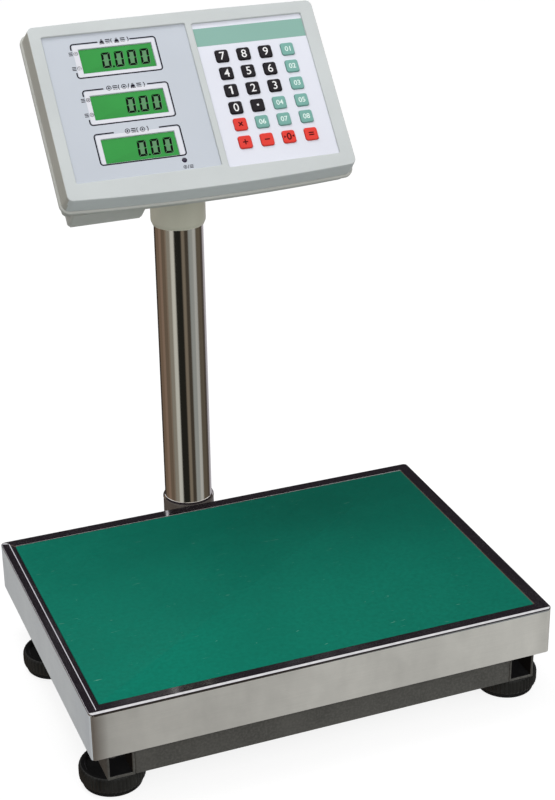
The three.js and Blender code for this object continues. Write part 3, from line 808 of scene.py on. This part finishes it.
def head_outline(grow):
    """The head's outline: a rounded rectangle whose long edges bow gently outwards."""
    w, h = HALF_WIDTH + grow, HALF_HEIGHT + grow
    r = HEAD_CORNER + grow
    points = []
    for side, bow, corners in ((-1, LOWER_BOW, ((1, -1), (1, 1))), (1, UPPER_BOW, ((-1, 1), (-1, -1)))):
        for i in range(EDGE_STEPS):
            share = i / EDGE_STEPS
            x = side * (w - r) * (1 - 2 * share)
            points.append((x, side * (h + 4 * bow * share * (1 - share))))
        for cx, cy in corners:
            start = math.atan2(cy, cx) - math.pi / 4
            for i in range(CORNER_STEPS + 1):
                angle = start + math.pi / 2 * i / CORNER_STEPS
                points.append((cx * (w - r) + r * math.cos(angle), cy * (h - r) + r * math.sin(angle)))
    return points


# ---- front casing

OVERLAP = 3.2 * MM
BAR_HALF = 2.95 * MM
display_low, display_high = face_box("display_panel")
keypad_low, keypad_high = face_box("keypad_panel")
bar_middle = (display_high.x + keypad_low.x) / 2
# Each window's left, right, bottom and top.
display_window = (
    display_low.x + OVERLAP, bar_middle - BAR_HALF, display_low.y + OVERLAP, display_high.y - OVERLAP,
)
keypad_window = (
    bar_middle + BAR_HALF, keypad_high.x - OVERLAP, keypad_low.y + OVERLAP, keypad_high.y - OVERLAP,
)


def grown(window, by):
    left, right, bottom, top = window
    return rectangle(left - by, right + by, bottom - by, top + by, 1.2 * MM + by)


def make_front_casing():
    """The front casing: a filleted face with two windows, and drafted walls open at the back."""
    depth, skin, wall, fillet, lip = 18 * MM, 3 * MM, 2.2 * MM, 0.8 * MM, 0.8 * MM
    section = [(-fillet * (1 - sine), -fillet * (1 - cosine)) for cosine, sine in quarter_turn(5)]
    section += [
        (DRAFT * 0.5, -depth / 2), (DRAFT, -depth + 0.5 * MM), (DRAFT - 0.5 * MM, -depth),
        (DRAFT - wall + 0.3 * MM, -depth), (DRAFT - wall, -depth + 0.3 * MM), (-wall, -skin),
    ]
    bm = bmesh.new()
    rings = [add_ring(bm, head_outline(grow), z) for grow, z in section]
    for upper, lower in zip(rings, rings[1:]):
        bridge(bm, lower, upper)
    inner_loops, outer_loops = [], []
    for window in (display_window, keypad_window):
        steps = ((lip, 0.0), (lip * 0.3, -lip * 0.3), (0.0, -lip), (0.0, -skin))
        loops = [add_ring(bm, grown(window, by), z) for by, z in steps]
        loft(bm, loops)
        outer_loops.append(loops[0])
        inner_loops.append(loops[-1])
    fill(bm, [rings[0], *outer_loops], True)
    fill(bm, [rings[-1], *inner_loops], False)
    # The end walls get a darker, warmer copy of the plastic as painted shade, with a slightly rougher finish.
    for part in bm.faces:
        part.normal_update()
        if abs(part.normal.x) > 0.7 and abs(part.calc_center_median().x) > HALF_WIDTH - 1 * MM:
            part.material_index = 1
    piece = face_piece("casing_front", bm, [bezel_grey, bezel_end_shaded], ["front_bezel"], 50)
    # The large flat faces set the shading, so that the fillets don't bend it.
    modifier = piece.modifiers.new("weigh", "WEIGHTED_NORMAL")
    modifier.weight = 100
    modifier.keep_sharp = True


# ---- printed panels

PRINT = 0.05 * MM
PRINT_GAP = 0.02 * MM
LINE = 1.2 * MM
print_low, print_high = display_high.z + PRINT_GAP, display_high.z + PRINT
READOUT_HALF = (32 * MM, 11.25 * MM)
LAMP_RADIUS = 2.1 * MM
lamp_centre = face_middle("power_lamp")
# For each readout: its digits, the margins of its line frame (left, right, bottom, top), where the frame's
# top line stops and starts again, and the pictograms in that gap. The lengths are in mm.
READOUTS = {
    "weight": (4, (5.9, 4.4, 3.8, 5.0), (24, 52), "weight list open weight list close"),
    "unit_price": (3, (5.2, 5.1, 4.1, 5.1), (18.3, 56.6), "coin list open coin slash weight list close"),
    "total_price": (3, (4.8, 5.6, 0.5, 4.7), (17.4, 56.6), "coin list open coin close"),
}
NARROW_MARKS = ("open", "close", "slash")


def corner_arc(cx, cy, radius, quarter):
    """One corner of a rounded frame, clockwise. Quarter 0 is the upper right corner and 1 the upper left."""
    angles = [math.radians(90 * (quarter + i / 5)) for i in range(6)]
    return [(cx + radius * math.cos(angle), cy + radius * math.sin(angle)) for angle in reversed(angles)]


def draw_mark(bm, kind, x, y, size):
    """One pictogram: a slotted weight, a coin, a list, a slash or half of a pair of brackets."""
    half = size / 2

    def shape(*corners):
        plate(bm, [[(x + px * half, y + py * half) for px, py in corners]], print_low, print_high)

    def ring(radius, hole, up=0.0):
        loops = [circle(r * half, 20, x, y + up * half) for r in (radius, hole) if r]
        plate(bm, loops, print_low, print_high)

    if kind == "weight":
        shape((-1, -1), (1, -1), (0.62, 0.35), (-0.62, 0.35))
        ring(0.4, 0.18, 0.66)
    elif kind == "coin":
        ring(1.0, 0.72)
        ring(0.38, 0)
    elif kind == "list":
        for level in (-0.9, -0.2, 0.5):
            shape((-0.9, level), (0.9, level), (0.9, level + 0.38), (-0.9, level + 0.38))
    elif kind == "slash":
        shape((-0.45, -1), (-0.15, -1), (0.45, 1), (0.15, 1))
    else:
        side = -1 if kind == "open" else 1
        arc = []
        for i in range(7):
            angle = 0.9 - 0.3 * i
            arc.append((x + side * half * (math.cos(angle) - 0.55), y + half * 1.25 * math.sin(angle)))
        strip(bm, arc, size * 0.16, print_low, print_high)


def draw_label(bm, kinds, x, y, size):
    """A centred row of pictograms."""
    widths = [(0.55 if kind in NARROW_MARKS else 1.18) * size for kind in kinds]
    place = x - sum(widths) / 2
    for kind, width in zip(kinds, widths):
        draw_mark(bm, kind, place + width / 2, y, size)
        place += width


def make_display_panel():
    bm = bmesh.new()
    outline = rectangle(display_low.x, display_high.x, display_low.y, display_high.y, 1.7 * MM)
    places = {label: face_middle(f"{label}_readout") for label in READOUTS}
    holes = [centred(x, y, READOUT_HALF, 0, 0.5 * MM) for x, y in places.values()]
    holes.append(circle(LAMP_RADIUS + 0.2 * MM, 32, *lamp_centre))
    plate(bm, [outline, *holes], display_low.z, display_high.z)
    face_piece("display_sheet", bm, display_sheet, ["display_panel"])

    # Each readout has a white surround and a dark line frame, open where its pictograms stand.
    white, dark = bmesh.new(), bmesh.new()
    w, h = READOUT_HALF
    edge, corner = 0.35 * MM, 2.4 * MM
    for label, (x, y) in places.items():
        _, margins, gap, marks = READOUTS[label]
        left, right, bottom, top = (margin * MM for margin in margins)
        x0, x1, y0, y1 = x - w - left, x + w + right, y - h - bottom, y + h + top
        surround = rectangle(x0 + LINE, x1 - LINE, y0 + LINE * 0.4, y1 - LINE, 1.6 * MM)
        opening_bottom = max(y - h - edge, y0 + LINE * 0.6)
        opening = rectangle(x - w - edge, x + w + edge, opening_bottom, y + h + edge, 0.6 * MM)
        plate(white, [surround, opening], print_low, print_high)
        gap_left, gap_right = (x0 + value * MM for value in gap)
        left_top = corner_arc(x0 + corner, y1 - corner, corner, 1) + [(gap_left, y1)]
        line = [(gap_right, y1)] + corner_arc(x1 - corner, y1 - corner, corner, 0)
        line += corner_arc(x1 - corner, y0 + corner, corner, 3)
        line += corner_arc(x0 + corner, y0 + corner, corner, 2)
        if label == "total_price":
            strip(dark, line + left_top, LINE, print_low, print_high)
        else:
            strip(dark, line + [(x0, y0 + 5.2 * MM)], LINE, print_low, print_high)
            strip(dark, [(x0, y1 - 5.4 * MM)] + left_top, LINE, print_low, print_high)
            for drop in (8.6, 22.2):
                draw_label(dark, ["list", "coin"], x0 + 1.0 * MM, y1 - drop * MM, 3.7 * MM)
        draw_label(dark, marks.split(), (gap_left + gap_right) / 2, y1, 4.5 * MM)
    draw_label(dark, ["coin", "slash", "list"], lamp_centre[0] + 2 * MM, lamp_centre[1] - 6.2 * MM, 3.2 * MM)
    face_piece("display_print_white", white, display_white)
    face_piece("display_print_dark", dark, print_dark)


def make_keypad_panel():
    clearance = 0.3 * MM
    bm = bmesh.new()
    outline = rectangle(keypad_low.x, keypad_high.x, keypad_low.y, keypad_high.y, 1.7 * MM)
    holes = [centred(*face_middle(name), KEY_HALF, clearance, KEY_CORNER + clearance) for name in key_names]
    plate(bm, [outline, *holes], keypad_low.z, keypad_high.z)
    face_piece("keypad_sheet", bm, keypad_sheet, ["keypad_panel"])
    # A plain coloured band runs across the pad above the keys.
    left, right, _, top = keypad_window
    band = rectangle(left + 0.1 * MM, right - 0.1 * MM, top - 21.6 * MM, top - 4.6 * MM)
    bm = bmesh.new()
    plate(bm, [band], print_low, print_high)
    face_piece("keypad_band", bm, band_green)


# ---- readouts

DIGIT_WIDTH, DIGIT_HEIGHT, DIGIT_PITCH = 7.6 * MM, 14.3 * MM, 11.3 * MM
STROKE, STROKE_GAP = 1.95 * MM, 0.42 * MM
DIGIT_LEAN = math.tan(math.radians(4))


def segment_outlines(x, y):
    """The six outer segments of a 7-segment nought, as mitred bars. x, y is the lower left corner."""
    w, h, t, g = DIGIT_WIDTH, DIGIT_HEIGHT, STROKE, STROKE_GAP / 2
    bottom = [(2 * g, 0), (w - 2 * g, 0), (w - t - g, t), (t + g, t)]
    left = [(0, 2 * g), (t, t + g), (t, h / 2 - t / 2 - g), (t / 2, h / 2 - g), (0, h / 2 - 2 * g)]
    outlines = []
    for bar in (bottom, left):
        outlines += [bar, [(w - px, h - py) for px, py in bar]]
    outlines += [[(px, h - py) for px, py in reversed(left)], [(w - px, py) for px, py in reversed(left)]]
    return [[(x + px, y + py) for px, py in outline] for outline in outlines]


def make_readout(label):
    """A readout's glass and body, its noughts with their soft shadows, and a decimal point."""
    name = f"{label}_readout"
    low, high = face_box(name)
    x, y = face_middle(name)
    digits = READOUTS[label][0]
    w, h = READOUT_HALF[0] - 0.25 * MM, READOUT_HALF[1] - 0.25 * MM
    top = high.z
    bm = bmesh.new()
    section = ((0, -3.4), (0, -0.35), (0.1, -0.1), (0.35, 0))
    stack(bm, top, section, lambda inset: centred(x, y, (w, h), -inset, 0.5 * MM))
    plate(bm, [rectangle(low.x, high.x, low.y, high.y, 0.8 * MM)], low.z, top - 3.5 * MM)
    face_piece(f"{label}_glass", bm, readout_green, [name], 40)

    right, bottom = x + w - 4.6 * MM, y - h + 3.1 * MM

    def slanted(outline, dx=0.0, dy=0.0):
        return [(px + (py - bottom) * DIGIT_LEAN + dx, py + dy) for px, py in outline]

    base = top + PRINT_GAP
    ink = (base + 0.05 * MM, base + 0.1 * MM)
    dark, shade = bmesh.new(), bmesh.new()
    for i in range(digits):
        left = right - DIGIT_WIDTH - i * DIGIT_PITCH
        # Each segment gets a painted shadow, offset down and to the right.
        for outline in segment_outlines(left, bottom):
            plate(shade, [slanted(outline, 0.55 * MM, -0.45 * MM)], base, base + 0.03 * MM)
            plate(dark, [slanted(outline)], *ink)
        # A faint painted shade fills the inside of each nought.
        inner = rectangle(
            left + STROKE, left + DIGIT_WIDTH - STROKE, bottom + STROKE, bottom + DIGIT_HEIGHT - STROKE,
        )
        plate(shade, [slanted(inner)], base, base + 0.02 * MM)
    # The decimal point follows the first digit.
    point = right - (digits - 1) * DIGIT_PITCH + 1.9 * MM
    plate(dark, [rectangle(point - 0.8 * MM, point + 0.8 * MM, bottom, bottom + 1.6 * MM, 0.3 * MM)], *ink)
    face_piece(f"{label}_shadows", shade, segment_shadow)
    face_piece(f"{label}_digits", dark, segment_dark)


def make_lamp():
    low, high = face_box("power_lamp")
    dome = high.z - 0.9 * MM
    flange, flange_top = LAMP_RADIUS + 0.9 * MM, low.z + 5 * MM
    profile = [(flange, low.z), (flange, flange_top), (LAMP_RADIUS, flange_top), (LAMP_RADIUS, dome)]
    profile += [(LAMP_RADIUS * cosine, dome + 0.85 * MM * sine) for cosine, sine in quarter_turn(6)[1:6]]
    bm = bmesh.new()
    lathe(bm, profile, 32, lamp_centre)
    face_piece("power_lamp_lens", bm, lamp_lens, ["power_lamp"], 35)


# ---- keys

KEY_HALF = (5.8 * MM, 5.75 * MM)
KEY_CORNER = 2 * MM
KEY_FILLET = 0.7
RED_MARKS = {"key_clear": "×", "key_add": "+", "key_tare": "−", "key_zero_set": "0", "key_total": "="}
key_names = [name for name in frame["nodes"] if name.startswith("key_")]


def key_style(name):
    """A key's material and slot, its mark with the mark's size and boldness in mm, and the ink."""
    if name.startswith("key_memory"):
        return key_teal, "key_teal", f"0{name[-1]}", 6.4, 0.12, print_pale
    if name in RED_MARKS:
        return key_red, "key_red", RED_MARKS[name], 9, 0.2, print_maroon
    return key_black, "key_black", "." if name == "key_point" else name[-1], 10.4, 0.06, print_white


def text_mesh(text, size, bold):
    """The outlines of a mark in the built-in typeface, as a thin plate centred on the origin."""
    curve = bpy.data.curves.new("mark", "FONT")
    curve.body = text
    curve.size = size
    curve.extrude = PRINT / 2
    curve.offset = bold
    curve.resolution_u = 6
    holder = bpy.data.objects.new("mark", curve)
    scene.collection.objects.link(holder)
    depsgraph = bpy.context.evaluated_depsgraph_get()
    mesh = bpy.data.meshes.new_from_object(holder.evaluated_get(depsgraph))
    bpy.data.objects.remove(holder)
    xs = [vertex.co.x for vertex in mesh.vertices]
    ys = [vertex.co.y for vertex in mesh.vertices]
    mesh.transform(Matrix.Translation((-(min(xs) + max(xs)) / 2, -(min(ys) + max(ys)) / 2, 0)))
    return mesh


def make_key(name):
    """A key's cap with the flange and stem under it, and its printed mark."""
    low, high = face_box(name)
    x, y = face_middle(name)
    top = high.z
    material, slot, mark, size, bold, ink = key_style(name)
    section = [(0, -3.8), (0, -0.75)]
    section += [(KEY_FILLET * (1 - c), KEY_FILLET * (s - 1)) for c, s in quarter_turn(4)[1:]] + [(2.2, -0.06)]

    def outline(inset):
        width, height = (2 * (half - inset) for half in KEY_HALF)
        return rounded_rectangle(width, height, max(KEY_CORNER - inset, 0.8 * MM), 5, (x, y))

    bm = bmesh.new()
    stack(bm, top, section, outline)
    stem = 2.5 * MM
    block(bm, (low.x, low.y, top - 4.7 * MM), (high.x, high.y, top - 3.85 * MM))
    block(bm, (x - stem, y - stem, low.z), (x + stem, y + stem, top - 4.75 * MM))
    face_piece(f"{name}_cap", bm, material, [name], 40, name)

    bm = bmesh.new()
    thin = (-PRINT / 2, PRINT / 2)
    if mark == ".":
        plate(bm, [circle(1.0 * MM, 24)], *thin)
    elif mark == "1":
        flag = [(-0.5, 2.2), (-0.5, -3.8), (1.0, -3.8), (1.0, 3.8), (-0.2, 3.8), (-2.0, 2.9), (-2.0, 1.7)]
        plate(bm, [[(px * MM, py * MM) for px, py in flag]], *thin)
    else:
        mesh = text_mesh(mark, size * MM, bold * MM)
        bm.from_mesh(mesh)
        bpy.data.meshes.remove(mesh)
    if name == "key_zero_set":
        for side in (-1, 1):
            arrow = [(side * 4.6 * MM, -1.3 * MM), (side * 2.6 * MM, 0), (side * 4.6 * MM, 1.3 * MM)]
            plate(bm, [arrow], *thin)
    bm.transform(Matrix.Translation((x, y, top - 0.06 * MM + PRINT / 2)))
    face_piece(f"{name}_mark", bm, ink, body=name)


# ---- rear casing

def solid(name, build):
    """A bmesh solid as a bare object, ready for a boolean."""
    bm = bmesh.new()
    build(bm)
    bmesh.ops.recalc_face_normals(bm, faces=bm.faces)
    return new_object(name, bm)


def lofted(sections, outline):
    """A builder of a capped solid from (grow, z) sections of an outline."""
    return lambda bm: loft(bm, [add_ring(bm, outline(grow), z) for grow, z in sections], closed=True)


def turned(profile, centre):
    """A builder of a capped solid of revolution about an upright axis."""
    return lambda bm: lathe(bm, profile, 128, centre)


def bar_along_x(outline, x0, x1):
    """A builder of a bar with a section of (y, z) points."""
    return lambda bm: loft(bm, [[bm.verts.new((x, y, z)) for y, z in outline] for x in (x0, x1)], closed=True)


def box_solid(x0, x1, y0, y1, z0, z1, radius=0.0, round_low=0.0):
    """A builder of a box with rounded upright corners and, if asked, a rounded lower edge."""
    def outline(grow):
        return rectangle(x0 - grow, x1 + grow, y0 - grow, y1 + grow, max(radius + grow, 0.3 * MM), 5)
    steps = reversed(quarter_turn(4)) if round_low else [(1, 1)]
    lower = [(-round_low * (1 - cosine), z0 + round_low * (1 - sine)) for cosine, sine in steps]
    return lofted(lower + [(0, z1)], outline)


def arch(y, z, angles, feet):
    """An outline of two feet and an arc of the pivot's radius round y, z."""
    arc = [(y + PIVOT_RADIUS * math.cos(angle), z + PIVOT_RADIUS * math.sin(angle)) for angle in angles]
    return feet + arc


def finish_casting(piece, material, angle, width, segments):
    """A material, smooth shading and rounded edges for a piece made by booleans."""
    piece.data.materials.clear()
    piece.data.materials.append(material)
    smooth(piece.data, angle)
    bevel(piece, width, segments, 50)


bolt_low, bolt_high = face_box("tilt_bolt")
pivot = ((bolt_low.y + bolt_high.y) / 2, (bolt_low.z + bolt_high.z) / 2)
PIVOT_RADIUS = 11 * MM
BOLT_HOLE = 4 * MM
TONGUE_HALF, EAR_THICKNESS = 14 * MM, 6 * MM
SHELL_BACK, SHELL_STEP = -36 * MM, -22 * MM
SCREW_PLACES = [(-112, 62), (112, 62), (-8, 66), (112, -62), (-40, -66), (40, -66)]
SCREW_SINK = 1.2 * MM
switch_low, switch_high = face_box("power_switch")
SWITCH_LEAN = 0.28
SWITCH_MARKS_BACK = SHELL_BACK - 0.4 * MM


def make_rear_casing():
    """The rear casing: a hollow tapered shell with the battery box, the hinge's ears and its openings."""
    front = face_box("rear_shell")[1].z
    back = SHELL_BACK
    cover_low, cover_high = face_box("battery_cover")
    edge = 2.2 * MM
    sections = [(-1 * MM - edge * (1 - sine), back + edge * (1 - cosine)) for cosine, sine in quarter_turn(4)]
    sections += [(1 * MM, SHELL_STEP - 0.3 * MM), (1.3 * MM, SHELL_STEP), (2.7 * MM, SHELL_STEP)]
    sections += [(3.2 * MM, SHELL_STEP + 0.6 * MM), (3.2 * MM, front - 0.7 * MM)]
    sections += [(2.9 * MM, front - 0.2 * MM), (2.5 * MM, front)]
    shell = solid("casing_rear", lofted(sections, head_outline))
    x0, x1 = cover_low.x - 2.5 * MM, cover_high.x + 2.5 * MM
    y0, y1 = cover_low.y, cover_high.y + 2.5 * MM
    box_back, cover_top = cover_low.z, cover_high.z
    boolean(shell, solid("box", box_solid(x0, x1, y0, y1, box_back, back + 10 * MM, 3 * MM, 2 * MM)), "UNION")
    y, z = pivot
    angles = [math.pi + math.pi * i / 24 for i in range(25)]
    ear = arch(y, z, angles, [(y + PIVOT_RADIUS, back + 1 * MM), (y - PIVOT_RADIUS, back + 1 * MM)])
    for side in (-1, 1):
        inner = side * (TONGUE_HALF + 0.4 * MM)
        boolean(shell, solid("ear", bar_along_x(ear, inner, inner + side * EAR_THICKNESS)), "UNION")

    def hole(radius, count, x, y, floor):
        return lofted([(0, back - 1 * MM), (0, floor)], lambda grow: circle(radius, count, x, y))

    cavity = [(-3.2 * MM, back + 2 * MM), (-3.2 * MM, 1 * MM)]
    wall, gap, floor = 2.2 * MM, 0.3 * MM, back + 3 * MM
    slot_front = y0 - 2 * MM
    x2, x3, y2, y3 = x0 + wall, x1 - wall, y0 + wall, y1 - wall
    inlet = face_middle("power_inlet")
    cuts = [
        lofted(cavity, head_outline),
        box_solid(x2, x3, y2, y3, cover_top + 0.3 * MM, floor, 1 * MM),
        box_solid(x0 + 1 * MM, x1 - 1 * MM, slot_front, y3, cover_top - 0.5 * MM, cover_top + 0.31 * MM),
        box_solid(x2, x3, slot_front, y3, box_back - 1 * MM, cover_top - 0.4 * MM),
        bar_along_x(circle(BOLT_HOLE, 48, *pivot), -40 * MM, 40 * MM),
        box_solid(
            switch_low.x - gap, switch_high.x + gap, switch_low.y - gap, switch_high.y + gap,
            back - 1 * MM, floor, 0.6 * MM,
        ),
        hole(6.3 * MM, 40, *inlet, floor),
    ]
    cuts += [hole(3.6 * MM, 32, x * MM, y * MM, back + SCREW_SINK) for x, y in SCREW_PLACES]
    for build in cuts:
        boolean(shell, solid("cut", build), "DIFFERENCE")
    shell.data.transform(face)
    attach(shell, "head", ["rear_shell"])
    finish_casting(shell, shell_grey, 40, 0.35 * MM, 2)


def make_case_screws():
    """Domed screw heads, each with a small round recess, at the bottom of their holes."""
    base = SHELL_BACK + SCREW_SINK
    bm = bmesh.new()
    for x, y in SCREW_PLACES:
        heads = [(2.9, 0.02), (2.9, -0.5), (2.5, -1.0), (1.4, -1.35), (0.9, -0.7)]
        rings = [add_ring(bm, circle(r * MM, 28, x * MM, y * MM), base + z * MM) for r, z in heads]
        loft(bm, rings[:4])
        cap(bm, rings[0])
        bridge(bm, rings[3], rings[4])
        cap(bm, rings[4], False)
    face_piece("case_screws", bm, bolt_steel, (), 40)


def make_switch_marks():
    """A bar for on and a ring for off, on the rocker's two flats."""
    x, y = face_middle("power_switch")
    bar = [rectangle(-0.35 * MM, 0.35 * MM, -1.5 * MM, 1.5 * MM)]
    rings = [circle(1.5 * MM, 28), circle(0.95 * MM, 28)]
    bm = bmesh.new()
    for side, loops in ((-1, bar), (1, rings)):
        before = len(bm.verts)
        plate(bm, loops, -0.03 * MM, 0.03 * MM)
        place = Matrix.Translation((x, y, SWITCH_MARKS_BACK)) @ Matrix.Rotation(side * SWITCH_LEAN, 4, "Y")
        place @= Matrix.Translation((side * 4.2 * MM, 0, -0.02 * MM))
        bmesh.ops.transform(bm, matrix=place, verts=list(bm.verts)[before:])
    face_piece("switch_marks", bm, print_white, body="power_switch")


# ---- neck

def make_neck():
    """The collar round the column, with a tongue up to the tilt bolt."""
    low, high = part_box("neck")
    tube_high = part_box("column_tube")[1]
    centre, tube_radius = axis_of("column_tube")
    radius = (high.x - low.x) / 2
    bottom = low.z + 2 * MM
    _, pivot_y, pivot_z = face @ Vector((0, *pivot))
    shoulder = pivot_z - 45 * MM
    barrel = [(tube_radius + 0.9 * MM, bottom)]
    for cosine, sine in quarter_turn(6):
        r = max(radius - 3.4 * MM * (1 - sine), tube_radius + 1.1 * MM)
        barrel.append((r, bottom + 4.6 * MM * (1 - cosine)))
    for inset, drop in ((0, 1.2), (0.4, 0.3), (1.2, 0)):
        barrel.append((radius - inset * MM, shoulder - drop * MM))
    # The arc runs on a little below the pivot on each side, so the tongue widens downwards.
    angles = [-0.28 + (math.pi + 0.56) * i / 24 for i in range(25)]
    feet = [(pivot_y - radius, shoulder - 1 * MM), (pivot_y + radius, shoulder - 1 * MM)]
    tongue = solid("tongue", bar_along_x(arch(pivot_y, pivot_z, angles, feet), -TONGUE_HALF, TONGUE_HALF))
    reach = radius - 0.05 * MM
    envelope = turned([(reach, bottom), (reach, high.z + 20 * MM)], centre)
    boolean(tongue, solid("envelope", envelope), "INTERSECT")
    neck = solid("neck_collar", turned(barrel, centre))
    boolean(neck, tongue, "UNION")
    bore = tube_radius + 0.4 * MM
    for build in (
        turned([(bore, bottom - 1 * MM), (bore, tube_high.z + 0.3 * MM)], centre),
        bar_along_x(circle(BOLT_HOLE, 48, pivot_y, pivot_z), -30 * MM, 30 * MM),
    ):
        boolean(neck, solid("cut", build), "DIFFERENCE")
    attach(neck, "neck", ["neck"])
    finish_casting(neck, cream, 38, 0.8 * MM, 3)


# ---- all pieces

# Each CAD node that is kept: its material, and the width in mm and the segments of its edges' bevel.
for node, material, width, segments in (
    ("left_side_tube", frame_paint, 0.7, 3), ("right_side_tube", frame_paint, 0.7, 3),
    ("front_cross_tube", frame_paint, 1.2, 3), ("rear_cross_tube", frame_paint, 1.2, 3),
    ("load_cell_beam", frame_paint, 0.8, 3), ("upper_frame", frame_paint, 0.8, 3),
    ("load_cell", cell_alloy, 0.5, 2), ("signal_cable", cable_black, 0.05, 1),
    ("keypad_board", board_green, 0.1, 1), ("main_board", board_green, 0.1, 1),
    ("battery", battery_black, 1.0, 2), ("battery_cover", shell_grey, 0.25, 2),
    ("power_switch", switch_black, 0.4, 2), ("power_inlet", switch_black, 0.3, 2),
    ("tilt_bolt", bolt_steel, 0.4, 2),
):
    soften(node, material, width * MM, segments)

for side in ("left", "right"):
    make_tube_shade_lining(side)
make_pan()
make_platter()
for end in ("front", "rear"):
    for side in ("left", "right"):
        make_foot(f"{end}_{side}_foot")
make_column()
make_bracket()
make_front_casing()
make_display_panel()
make_keypad_panel()
for label in READOUTS:
    make_readout(label)
make_lamp()
for key_name in key_names:
    make_key(key_name)
make_rear_casing()
make_case_screws()
make_switch_marks()
make_neck()


# ---- camera and light

def make_camera():
    """A long lens above the operator's left shoulder, level apart from a slight roll."""
    azimuth, elevation, roll = math.radians(-21.27), math.radians(25.17), math.radians(-0.76)
    level = math.cos(elevation)
    back = Vector((math.sin(azimuth) * level, -math.cos(azimuth) * level, math.sin(elevation)))
    data = bpy.data.cameras.new("camera")
    data.lens = 80.09
    data.sensor_width = 36
    camera = bpy.data.objects.new("camera", data)
    camera.rotation_mode = "QUATERNION"
    camera.location = Vector((-470.8, -1287.8, 877.7)) * MM
    turn = (-back).to_track_quat("-Z", "Y").to_matrix().to_4x4() @ Matrix.Rotation(roll, 4, "Z")
    camera.rotation_quaternion = turn.to_quaternion()
    scene.collection.objects.link(camera)
    scene.camera = camera


def make_light(name, place, target, side, power):
    data = bpy.data.lights.new(name, "AREA")
    data.shape = "RECTANGLE"
    data.size = data.size_y = side
    data.energy = power
    light = bpy.data.objects.new(name, data)
    light.location = place
    light.rotation_mode = "QUATERNION"
    light.rotation_quaternion = (Vector(target) - Vector(place)).to_track_quat("-Z", "Y")
    light.visible_glossy = False
    scene.collection.objects.link(light)


# Where each strip starts, in degrees round from +X, and its screen colour.
ROOM_STRIPS = [
    (-180, (132, 118, 104)), (-172, (146, 142, 132)), (-152, (212, 212, 204)), (-133, (38, 38, 34)),
    (-99, (134, 124, 110)), (-84, (72, 66, 58)), (-66, (158, 162, 160)), (-44, (186, 188, 186)),
    (-26, (102, 94, 82)), (4, (82, 74, 66)), (16, (84, 78, 76)), (26, (190, 187, 194)), (69, (64, 56, 50)),
    (112, (120, 102, 86)), (140, (144, 122, 106)), (158, (112, 98, 84)),
]
STRIP_BLEND = 3.0


def make_world():
    """A soft box of light: white overhead and dimmer below, with a dark room for mirror rays to pick up."""
    world = bpy.data.worlds.new("studio")
    scene.world = world
    world.use_nodes = True
    tree = world.node_tree

    def ramp(value, *stops):
        """A colour ramp through (position, colour or grey level) stops, in rising order."""
        node = tree.nodes.new("ShaderNodeValToRGB")
        connect(tree, value, node.inputs["Fac"])
        elements = node.color_ramp.elements
        stops = [(position, tone if isinstance(tone, tuple) else grey(tone)) for position, tone in stops]
        for element, (position, tone) in zip(elements, (stops[0], stops[-1])):
            element.position = position
            element.color = (*tone, 1)
        for position, tone in stops[1:-1]:
            elements.new(position).color = (*tone, 1)
        return node.outputs["Color"]

    def calculate(operation, *values):
        return add_node(tree, "Math", dict(enumerate(values)), operation=operation)[0]

    def background(colour, strength=1.0):
        return add_node(tree, "Background", {"Color": colour, "Strength": strength})[0]

    def mix(factor, a, b):
        return add_node(tree, "MixShader", {0: factor, 1: a, 2: b})[0]

    where = add_node(tree, "TexCoord", {})["Generated"]
    split = add_node(tree, "SeparateXYZ", {0: where})
    rise = calculate("MULTIPLY_ADD", split["Z"], 0.5, 0.5)
    turn = calculate("MULTIPLY_ADD", calculate("ARCTAN2", split["Y"], split["X"]), 0.5 / math.pi, 0.5)

    # What lights the rough surfaces: a bright ceiling, dimmer walls and a dim floor.
    soft = background(ramp(rise, (0.0, 0.45), (0.5, 0.52), (0.74, 0.62), (1.0, 0.62)))

    # What mirror rays find below the horizon, going round: the strips that streak the column.
    strips = []
    starts = [start for start, _ in ROOM_STRIPS]
    for (start, colour), stop in zip(ROOM_STRIPS, starts[1:] + [180]):
        low = start if start == -180 else start + STRIP_BLEND
        high = stop if stop == 180 else stop - STRIP_BLEND
        strips += [((low + 180) / 360, srgb(*colour)), ((high + 180) / 360, srgb(*colour))]
    walls = background(ramp(turn, *strips))
    # Above the horizon: a dark wall, then a bright ceiling.
    dark = srgb(44, 39, 44)
    upper = background(ramp(rise, (0.0, dark), (0.79, dark), (0.84, 1.15), (1.0, 1.15)))
    above = ramp(rise, (0.0, 0), (0.47, 0), (0.53, 1), (1.0, 1))
    # A tall window on the far side.
    tall = ramp(rise, (0.0, 0), (0.70, 0), (0.72, 1), (0.80, 1), (0.82, 0), (1.0, 0))
    wide = ramp(turn, (0.0, 0), (0.73, 0), (0.74, 1), (0.84, 1), (0.85, 0), (1.0, 0))
    window = background((0.95, 0.95, 1.0), 1.1)
    room = mix(calculate("MULTIPLY", tall, wide), mix(above, walls, upper), window)

    paths = add_node(tree, "LightPath", {})
    lit = mix(paths["Is Glossy Ray"], soft, room)
    seen = mix(paths["Is Camera Ray"], lit, background(grey(1)))
    connect(tree, seen, tree.nodes["World Output"].inputs["Surface"])


def make_floor():
    bm = bmesh.new()
    bmesh.ops.create_grid(bm, x_segments=1, y_segments=1, size=6)
    floor = new_object("floor", bm)
    finish = Finish("floor_pale", grey(0.22), 0.9, Emission_Color=grey(1), Emission_Strength=0.84)
    finish.colour(finish.mix(finish.ramp(finish.noise(3, 3), 0.3, 0.7), grey(0.21), grey(0.23)))
    floor.data.materials.append(finish.material)
    floor.visible_diffuse = floor.visible_glossy = False


scene.view_settings.view_transform = "Standard"
make_camera()
make_world()
make_floor()
make_light("key_light", (-0.45, 0.45, 2.2), (0, 0, 0.2), 0.9, 17)
make_light("fill_light", (0.7, -1.9, 1.4), (0, 0, 0.3), 1.4, 13)
